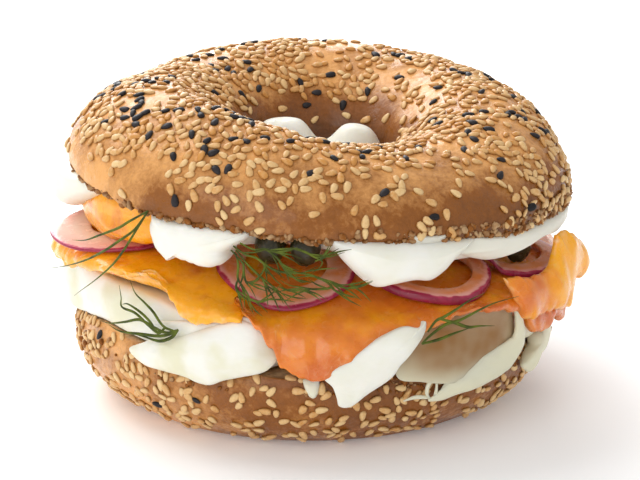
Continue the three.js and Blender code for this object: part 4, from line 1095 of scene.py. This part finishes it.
def cream_finish(name, look, warm):
    """Cream cheese: bright and soft-lit from inside, darker and greener where the thick value paints shade
    and in the clouds of the lower layer's copy, which paints shade too; browner where the filling shows
    through and where shade is painted with it; with faint knife streaks and a satin gloss."""
    f = Finish(name)
    cloud = f.span(f.noise(11, 3), 0.35, 0.65)
    streak = f.noise(1.6, 3, 0.5, f.stretched((1, 1, 2.4)))
    # painted shade: the thick value turns the cream wholly to the warm colour, which in the lower layer's
    # copy is the colour of painted shade
    plain = f.mix(f.math("MULTIPLY", cloud, f.math("SUBTRACT", 1.0, f.value("thick"))), warm, look.cream)
    # partly staining by salmon and crust, partly painted shade
    stain_and_shade_share = f.math("MULTIPLY", f.value("stain"), f.span(f.noise(9, 2), 0.3, 0.7, 0.85, 1.1))
    f.set(Base_Color=f.mix(stain_and_shade_share, plain, look.cream_stain_and_shade))
    f.set(Roughness=f.span(streak, 0.3, 0.7, 0.34, 0.5), Specular_IOR_Level=0.3)
    f.set(Normal=f.bump(streak, 0.25, 0.25, f.bump(f.noise(5, 2), 0.6, 0.25)))
    f.set(Subsurface_Weight=0.25, Subsurface_Scale=3 * MM, Subsurface_Radius=(1.0, 0.85, 0.6))
    return f.material


def salmon_finish(name, look, warm):
    """Smoked salmon: translucent orange, yellower or rustier by warm and by the gold value; the golden
    shift is painted light coming through it. Thin pale lines of fat wander across it, with darker flecks,
    paler edges and a wet gloss."""
    f = Finish(name)
    cloud = f.math("ADD", f.noise(8, 3, 0.55), f.value("gold"))
    flesh = f.ramp(cloud, [(0.26, look.salmon_deep), (0.5, warm), (0.76, look.salmon_yellow)])
    waver = f.noise(6, 2, 0.5, distortion=0.6)
    lines = f.math("PINGPONG", f.math("MULTIPLY", waver, 9.0), 0.5)
    fat = f.span(lines, 0.0, 0.075, 1.0, 0.0)
    fat = f.math("MULTIPLY", fat, f.span(f.noise(5, 1), 0.45, 0.62, 0.0, 0.22))
    rim = f.math("MULTIPLY", f.value("edge"), f.span(f.noise(2.0, 2), 0.45, 0.66, 0.0, 0.28))
    bead = f.span(f.value("bead"), 0.15, 0.6, 0.0, 0.7)
    colour = f.mix(f.math("MAXIMUM", f.math("MAXIMUM", fat, rim), bead), flesh, look.salmon_fat)
    f.set(Base_Color=colour, Roughness=f.span(f.noise(2.5, 3), 0.3, 0.7, 0.16, 0.42))
    fibres = f.noise(1.2, 3, 0.6, f.stretched((1, 1, 2)))
    f.set(Normal=f.bump(fibres, 0.2, 0.3, f.bump(fat, 0.1, 0.4)))
    f.set(Subsurface_Weight=0.22, Subsurface_Scale=3 * MM, Subsurface_Radius=(1.0, 0.4, 0.1))
    f.set(Coat_Weight=0.25, Coat_Roughness=0.12)
    return f.material


def onion_finish(look):
    """Red onion: wet translucent pink flesh, with a purple skin on the ring's outer edge that bleeds in."""
    f = Finish("Red onion")
    depth = f.math("ADD", f.value("depth"), f.span(f.noise(3, 2), 0.3, 0.7, -0.25, 0.25))
    colour = f.ramp(f.math("DIVIDE", depth, 6.0), [
        (0.02, look.onion_skin), (0.07, shade(look.onion_skin, 1.6)), (0.13, look.onion_flesh),
        (0.8, look.onion_pale)])
    wash = f.math("MULTIPLY", f.value("wash"), f.span(f.value("depth"), 0.5, 2.0))
    wash = f.math("MULTIPLY", wash, f.span(f.noise(4, 2), 0.3, 0.7, 0.7, 1.2))
    f.set(Base_Color=f.mix(wash, colour, look.salmon), Roughness=f.span(f.noise(2, 2), 0.3, 0.7, 0.12, 0.3))
    f.set(Normal=f.bump(f.noise(1.5, 2), 0.15, 0.3))
    f.set(Subsurface_Weight=0.4, Subsurface_Scale=2.5 * MM, Subsurface_Radius=(1.0, 0.45, 0.4))
    return f.material


def caper_finish(look):
    """Pickled caper: dark olive with paler freckles and a wet gloss."""
    f = Finish("Caper")
    freckle = f.span(f.cells(1.2), 0.1, 0.35, 1.0, 0.0)
    f.set(Base_Color=f.mix(f.math("MULTIPLY", freckle, 0.5), look.caper, shade(look.caper, 2.2)))
    f.set(Roughness=f.span(f.noise(1.5, 2), 0.3, 0.7, 0.25, 0.5), Normal=f.bump(f.noise(1.2, 3), 0.3, 0.5))
    return f.material


def dill_finish(look):
    """Fresh dill: green with olive lengths, matt."""
    f = Finish("Dill")
    f.set(Base_Color=f.ramp(f.noise(3, 2), [(0.35, look.dill_dark), (0.65, look.dill)]))
    f.set(Roughness=f.span(f.noise(1, 2), 0.3, 0.7, 0.4, 0.6), Normal=f.bump(f.noise(0.5, 2), 0.1, 0.4))
    f.set(Specular_IOR_Level=0.2)
    return f.material


# Settings

COLOUR = {"subtype": "COLOR", "size": 3, "min": 0.0, "max": 1.0}


class BagelBreadSettings(bpy.types.PropertyGroup):
    """Sizes and colours of the bread."""

    seed_length: bpy.props.FloatProperty(
        name="Seed length", description="Length of a sesame seed", default=2.6 * MM, unit="LENGTH")
    crown_seeds: bpy.props.IntProperty(
        name="Crown seeds", description="Places tried for seeds on the crown", default=6200, min=100)
    heel_seeds: bpy.props.IntProperty(
        name="Heel seeds", description="Places tried for seeds on the heel", default=1500, min=100)
    black_share: bpy.props.FloatProperty(
        name="Black seeds", description="Share of the crown's seeds that are black", default=0.11,
        subtype="FACTOR", min=0, max=1)
    # The pale and dark crust colours also serve as painted light and painted shade on the crust.
    crust_pale: bpy.props.FloatVectorProperty(
        name="Pale crust", description="Where the crust is baked least",
        default=(0.8, 0.39, 0.12), **COLOUR)
    crust_golden: bpy.props.FloatVectorProperty(
        name="Golden crust", description="Most of the crust", default=(0.28, 0.088, 0.007), **COLOUR)
    crust_dark: bpy.props.FloatVectorProperty(
        name="Dark crust", description="Where the crust is baked most",
        default=(0.13, 0.042, 0.008), **COLOUR)
    crumb: bpy.props.FloatVectorProperty(
        name="Crumb", description="The cut bread", default=(0.72, 0.5, 0.27), **COLOUR)
    seed_pale: bpy.props.FloatVectorProperty(
        name="Pale seed", description="The palest sesame seeds", default=(0.8, 0.56, 0.27), **COLOUR)
    seed_toasted: bpy.props.FloatVectorProperty(
        name="Toasted seed", description="The most toasted sesame seeds",
        default=(0.6, 0.27, 0.06), **COLOUR)
    seed_black: bpy.props.FloatVectorProperty(
        name="Black seed", description="Black sesame seeds", default=(0.013, 0.011, 0.012), **COLOUR)


class BagelFillingSettings(bpy.types.PropertyGroup):
    """Colours of the filling."""

    cream: bpy.props.FloatVectorProperty(
        name="Cream", description="Cream cheese", default=(0.87, 0.86, 0.79), **COLOUR)
    # The warm cream is also painted shade on the upper dollops marked thick.
    cream_warm: bpy.props.FloatVectorProperty(
        name="Warm cream", description="Its slightly darker clouds",
        default=(0.82, 0.81, 0.7), **COLOUR)
    # Painted shade for the lower layer.
    cream_painted_shade: bpy.props.FloatVectorProperty(
        name="Cream in painted shade", description="Painted shade in the lower layer's clouds and thick-marked places",
        default=(0.76, 0.74, 0.55), **COLOUR)
    # Painted shade as well as staining, where the stain value is set.
    cream_stain_and_shade: bpy.props.FloatVectorProperty(
        name="Stained and shaded cream", description="Where salmon and crust show through, and painted shade",
        default=(0.28, 0.13, 0.032),
        **COLOUR)
    salmon_deep: bpy.props.FloatVectorProperty(
        name="Deep salmon", description="Its rusty places", default=(0.64, 0.135, 0.006), **COLOUR)
    salmon: bpy.props.FloatVectorProperty(
        name="Salmon", description="Most of the salmon", default=(0.8, 0.225, 0.01), **COLOUR)
    salmon_yellow: bpy.props.FloatVectorProperty(
        name="Yellow salmon", description="Where light comes through it",
        default=(1.0, 0.42, 0.006), **COLOUR)
    salmon_fat: bpy.props.FloatVectorProperty(
        name="Fat", description="Its lines and edges of fat", default=(0.95, 0.62, 0.36), **COLOUR)
    onion_skin: bpy.props.FloatVectorProperty(
        name="Onion skin", description="Outer edge of the rings", default=(0.3, 0.018, 0.06), **COLOUR)
    onion_flesh: bpy.props.FloatVectorProperty(
        name="Onion flesh", description="Near the skin", default=(0.88, 0.46, 0.42), **COLOUR)
    onion_pale: bpy.props.FloatVectorProperty(
        name="Pale onion", description="Near the ring's inner edge",
        default=(0.95, 0.74, 0.66), **COLOUR)
    caper: bpy.props.FloatVectorProperty(
        name="Caper", description="Capers", default=(0.032, 0.029, 0.01), **COLOUR)
    dill: bpy.props.FloatVectorProperty(
        name="Dill", description="Its lighter lengths", default=(0.12, 0.155, 0.014), **COLOUR)
    dill_dark: bpy.props.FloatVectorProperty(
        name="Dark dill", description="Its darker lengths", default=(0.036, 0.05, 0.006), **COLOUR)


class BagelStageSettings(bpy.types.PropertyGroup):
    """The studio round the bagel."""

    floor: bpy.props.FloatVectorProperty(
        name="Floor", description="Colour of the floor", default=(0.94, 0.94, 0.94), **COLOUR)
    floor_glow: bpy.props.FloatProperty(
        name="Floor glow", description="Even light that the floor gives by itself", default=0.14, min=0)
    key_power: bpy.props.FloatProperty(
        name="Key light", description="Power of the light from behind on the left",
        default=4.3, unit="POWER")
    front_power: bpy.props.FloatProperty(
        name="Front light", description="Power of the soft light from the front",
        default=2.4, unit="POWER")
    back_power: bpy.props.FloatProperty(
        name="Back light", description="Power of the broad light behind", default=7.5, unit="POWER")
    sky: bpy.props.FloatProperty(
        name="Sky", description="Strength of the even light from all round", default=0.62, min=0)
    camera_distance: bpy.props.FloatProperty(
        name="Camera distance", description="From the camera to the bagel's middle", default=500.3 * MM,
        unit="LENGTH")
    camera_elevation: bpy.props.FloatProperty(
        name="Camera elevation", description="Angle above the horizon", default=math.radians(15.74),
        subtype="ANGLE")
    camera_lens: bpy.props.FloatProperty(
        name="Lens", description="Focal length in millimetres", default=124.4, min=1)


# Operators


class BAGEL_OT_bread(bpy.types.Operator):
    """Bakes the crown and the heel, and strews them with seeds."""

    bl_idname = "bagel.bread"
    bl_label = "Bread and seeds"

    def execute(self, context):
        look = context.scene.bagel_bread
        crust = crust_finish(look)
        tan = seed_finish("Sesame", look.seed_pale, look.seed_toasted, 0.32, 0.4)
        black = seed_finish("Black sesame", look.seed_black, shade(look.seed_black, 2.4), 0.4, 0.22)
        bits = seed_finish("Crumb", shade(look.crumb, 0.8), look.crust_golden, 0.6, 0.3)
        length = look.seed_length / MM
        seed = seed_form(length, 0.6 * length, 0.36 * length)
        crumb = crumb_form(CRUMB_SIZE, 5)
        rng = np.random.default_rng(23)

        # crown: the bake value colours the crust and carries painted light and shade:
        # darker low down, on the right low down and in the hole, which is painted shade, and paler on the
        # left side low down and over the top, which is painted light
        ring = bread_ring(crown_section, 460, 150, crown_place, 3)
        height = ring.points[..., 2] - cut_face(ring.points[..., 0], ring.points[..., 1])
        inside = smooth(ring.radius, 27, 17)
        left, right = near(ring.azimuth, -62, 28, 10), near(ring.azimuth, 62, 60, 20)
        low, top = smooth(height, 13, 3), smooth(height, 9, 14.5)
        bake = 0.24 + 0.26 * low - 0.5 * left * low + 0.28 * right * low + 0.36 * inside * low
        bake += 0.22 * inside * smooth(height, 18, 11)
        bake -= 0.13 * smooth(height, 10, 16)
        form = skin(ring.points, joined=True, values={"crust": ring.crust, "bake": bake})
        show("crown_crust", form, crust, ["crown"])
        # crown seeds: dense on top, in clumps, few on the left side and in the hole
        clumps = relief(ring.points, 8.5, 9) + 0.5 * relief(ring.points, 3.6, 10)
        density = 0.1 + 0.9 * top + 0.28 * smooth(height, 5, 10)
        density *= 0.12 + 1.5 * smooth(clumps, -0.5, 0.3)
        density *= 1 - 0.75 * left * (1 - top) * smooth(height, 11, 6)
        density *= 1 - 0.86 * inside * smooth(height, 17.5, 12)
        density += 0.6 * right * low * smooth(np.abs(ring.azimuth - 70), 34, 10)
        density *= ring.crust > 0.99
        chosen = scatter(ring, density, CROWN_SEED_SPACING, look.crown_seeds, rng)
        high = top.reshape(-1)[chosen]
        clump = relief(ring.points.reshape(-1, 3)[chosen], 9, 5)
        dark = rng.uniform(0, 1, len(chosen)) < look.black_share * (0.35 + 0.9 * high) * (1 + 1.2 * clump)
        # crown crumbs: along the torn rim, most on the right
        torn = (ring.crust > 0.25) * (ring.crust < 0.999) * (ring.radius > 45)
        torn = torn * (0.25 + smooth(relief(ring.points, 6, 31), -0.2, 0.5))
        torn = torn * (0.15 + smooth(np.mod(ring.azimuth + 180, 360) - 180, -50, -10))
        torn = torn + (ring.radius > 45) * (height < 3.5) * (ring.crust > 0.9) * 0.5 * right
        crumbs = scatter(ring, torn, 0.4, CROWN_CRUMBS, rng)
        strew("crown_crumbs", crumb, ring, crumbs, bits, rng, 0.05, 0.6, 0.3, 0.75)
        lean = 0.1 + 0.25 * (right * low).reshape(-1)[chosen]
        for name, some, finish in (("crown_seeds", ~dark, tan), ("crown_black_seeds", dark, black)):
            strew(name, seed, ring, chosen[some], finish, rng, 0.22, lean[some], 0.3 * high[some])

        # heel: the bake value, paler on its left side, which is painted light, darker towards
        # the right, which is painted shade, and paler low down
        ring = bread_ring(heel_section, 420, 70, heel_place, 13)
        height = ring.points[..., 2]
        bake = 0.55 - 0.12 * smooth(height, 14, 2) - 0.36 * near(ring.azimuth, -70, 62, 25)
        bake = bake + 0.1 * smooth(ring.azimuth, 20, 80) * (ring.azimuth < 180)
        form = skin(ring.points, joined=True, values={"crust": ring.crust, "bake": bake})
        show("heel_crust", form, crust, ["heel"])
        torn = (ring.radius > 45) * smooth(height, 13, 15) * (ring.crust > 0.6)
        torn = torn * (0.05 + near(ring.azimuth, 62, 60, 20))
        torn = torn * smooth(relief(ring.points, 5, 33), -0.2, 0.5)
        crumbs = scatter(ring, torn, 0.8, HEEL_CRUMBS, rng)
        strew("heel_crumbs", crumb, ring, crumbs, bits, rng, 0.1, 0.6, 0.5, 0.6)
        # heel seeds: on its wall, thinner in front
        density = (ring.crust > 0.99) * (ring.radius > 40) * smooth(height, 0.6, 2.5)
        density = density * (0.5 + 0.5 * smooth(height, 2, 7)) * (1 + 0.5 * relief(ring.points, 12, 8))
        density *= 1 - 0.4 * near(ring.azimuth, 8, 50, 25)
        chosen = scatter(ring, density, HEEL_SEED_SPACING, look.heel_seeds, rng)
        dark = rng.uniform(0, 1, len(chosen)) < HEEL_BLACK_SHARE
        for name, some, finish in (("heel_seeds", ~dark, tan), ("heel_black_seeds", dark, black)):
            strew(name, seed, ring, chosen[some], finish, rng, 0.2, 0.16, 0)
        return {"FINISHED"}


class BAGEL_OT_cream(bpy.types.Operator):
    """Spreads the cream cheese, with the dollops that are squeezed out of both layers."""

    bl_idname = "bagel.cream"
    bl_label = "Cream cheese"

    def execute(self, context):
        look = context.scene.bagel_filling
        cream = cream_finish("Cream", look, look.cream_warm)
        # the lower layer's copy has the colour of painted shade in its clouds and thick places
        soft = cream_finish("Shaded cream", look, look.cream_painted_shade)
        upper = [upper_cream_layer()]
        upper += [dollop(**d, seed=100 + 7 * i) for i, d in enumerate(UPPER_DOLLOPS)]
        show("cream_upper_spread", together(upper), cream, ["cream_upper"])
        lower = [lower_cream_layer()]
        lower += [dollop(**d, seed=200 + 7 * i) for i, d in enumerate(LOWER_DOLLOPS)]
        lower += [smear(path, 280 + i) for i, path in enumerate(LOWER_SMEARS)]
        show("cream_lower_spread", together(lower), soft, ["cream_lower"])
        swoosh = dollop(**SWOOSH, seed=300)
        show("cream_swoosh_spread", swoosh, cream, ["cream_swoosh"])
        return {"FINISHED"}


class BAGEL_OT_salmon(bpy.types.Operator):
    """Lays the slices and folds of smoked salmon."""

    bl_idname = "bagel.salmon"
    bl_label = "Smoked salmon"

    def execute(self, context):
        look = context.scene.bagel_filling
        plain = salmon_finish("Salmon", look, look.salmon)
        # painted light: the left pieces take a copy whose middle colour is the golden one that stands for
        # light coming through the salmon
        lit_salmon = salmon_finish("Salmon with painted light", look, look.salmon_yellow)
        for i, (name, slice_) in enumerate(SLICES.items()):
            finish = lit_salmon if name == "salmon_left" else plain
            show(name + "_slice", salmon_slice(slice_, 400 + 11 * i), finish, [name])
        fold = dollop(**FOLD_LEFT, seed=507)
        show("salmon_fold_left_slice", fold, lit_salmon, ["salmon_fold_left"])
        sheet = salmon_sheet(FOLD_LOWER, FOLD_UPPER, 540)
        show("salmon_fold_right_slice", sheet, plain, ["salmon_fold_right"])
        return {"FINISHED"}


class BAGEL_OT_toppings(bpy.types.Operator):
    """Adds the red onion rings and the capers."""

    bl_idname = "bagel.toppings"
    bl_label = "Onion and capers"

    def execute(self, context):
        look = context.scene.bagel_filling
        onion, caper = onion_finish(look), caper_finish(look)
        rings = list(ONIONS.values())
        for i, (name, ring) in enumerate(ONIONS.items()):
            show(name + "_ring", onion_ring(ring, rings[:i], 600 + i), onion, [name])
        for i, name in enumerate(CAPERS):
            show(name + "_bud", caper_form(name, 700 + i), caper, [name])
        return {"FINISHED"}


class BAGEL_OT_dill(bpy.types.Operator):
    """Lays the sprigs of dill."""

    bl_idname = "bagel.dill"
    bl_label = "Dill"

    def execute(self, context):
        dill = dill_finish(context.scene.bagel_filling)
        rng = np.random.default_rng(31)
        for name, fronds in DILL.items():
            threads = []
            for frond in fronds:
                line = smooth_line(frond, 40)
                threads.append(thread(line, DILL_GIRTH[name]))
                if name == "dill_centre":
                    threads += leaflets(line, DILL_GIRTH[name], rng, 3)
            show(name + "_sprig", together(threads), dill, [name])
        return {"FINISHED"}


class BAGEL_OT_stage(bpy.types.Operator):
    """Sets the pale floor, the soft lights and the camera."""

    bl_idname = "bagel.stage"
    bl_label = "Studio"

    def execute(self, context):
        look = context.scene.bagel_stage
        scene = context.scene
        mesh = bpy.data.meshes.new("floor")
        rim = at(FLOOR_RADIUS, np.linspace(0, 360, 96, endpoint=False), -0.05 * MM)
        mesh.from_pydata(rim.tolist(), [], [list(range(96))])
        floor = add_object("floor", mesh)
        finish = Finish("Floor")
        finish.set(Base_Color=(*look.floor, 1), Roughness=0.7, Specular_IOR_Level=0.2)
        finish.set(Emission_Color=(1, 1, 1, 1), Emission_Strength=look.floor_glow)
        mesh.materials.append(finish.material)
        floor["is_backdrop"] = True
        low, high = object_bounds()
        lights = {
            "key": (Vector((-0.4, 0.3, 0.7)), 0.7, look.key_power),
            "back": (Vector((-0.25, 0.95, 0.42)), 0.8, look.back_power),
            "front": (Vector((-0.35, -0.8, 0.45)), 0.7, look.front_power),
        }
        for name, (place, size, power) in lights.items():
            lamp = bpy.data.lights.new(name, "AREA")
            lamp.shape = "DISK"
            lamp.size = size
            lamp.energy = power
            light = add_object(name, lamp)
            light.location = place
            light.rotation_euler = ((low + high) / 2 - place).to_track_quat("-Z", "Y").to_euler()
        scene.world = bpy.data.worlds.new("Studio")
        scene.world.use_nodes = True
        sky = scene.world.node_tree.nodes["Background"].inputs
        sky["Color"].default_value = (1, 1, 1, 1)
        sky["Strength"].default_value = look.sky
        scene.view_settings.view_transform = "Standard"

        elevation = look.camera_elevation
        back = Vector((0, -math.cos(elevation), math.sin(elevation)))
        lens = bpy.data.cameras.new("camera")
        lens.sensor_width = 36
        lens.lens = look.camera_lens
        lens.clip_start, lens.clip_end = 0.01, 20
        camera = add_object("camera", lens)
        camera.location = CAMERA_TARGET * MM + back * look.camera_distance
        camera.rotation_euler = (-back).to_track_quat("-Z", "Y").to_euler()
        scene.camera = camera
        return {"FINISHED"}


class BAGEL_PT_sidebar(bpy.types.Panel):
    """Lists what builds the bagel, and its settings."""

    bl_label = "Filled bagel"
    bl_idname = "BAGEL_PT_sidebar"
    bl_space_type = "VIEW_3D"
    bl_region_type = "UI"
    bl_category = "Bagel"

    def draw(self, context):
        for operator in OPERATORS:
            self.layout.operator(operator.bl_idname)
        for name in SETTINGS:
            group = getattr(context.scene, name)
            box = self.layout.box()
            for key in group.bl_rna.properties.keys():
                if key not in ("name", "rna_type"):
                    box.prop(group, key)


SETTINGS = {
    "bagel_bread": BagelBreadSettings,
    "bagel_filling": BagelFillingSettings,
    "bagel_stage": BagelStageSettings,
}
OPERATORS = (
    BAGEL_OT_bread, BAGEL_OT_cream, BAGEL_OT_salmon, BAGEL_OT_toppings, BAGEL_OT_dill, BAGEL_OT_stage,
)
CLASSES = (*SETTINGS.values(), *OPERATORS, BAGEL_PT_sidebar)


def register():
    for made in CLASSES:
        bpy.utils.register_class(made)
    for name, group in SETTINGS.items():
        setattr(bpy.types.Scene, name, bpy.props.PointerProperty(type=group))


def unregister():
    for name in SETTINGS:
        delattr(bpy.types.Scene, name)
    for made in reversed(CLASSES):
        bpy.utils.unregister_class(made)


def main():
    register()
    bpy.ops.bagel.bread()
    bpy.ops.bagel.cream()
    bpy.ops.bagel.salmon()
    bpy.ops.bagel.toppings()
    bpy.ops.bagel.dill()
    bpy.ops.bagel.stage()


if __name__ == "__main__":
    main()
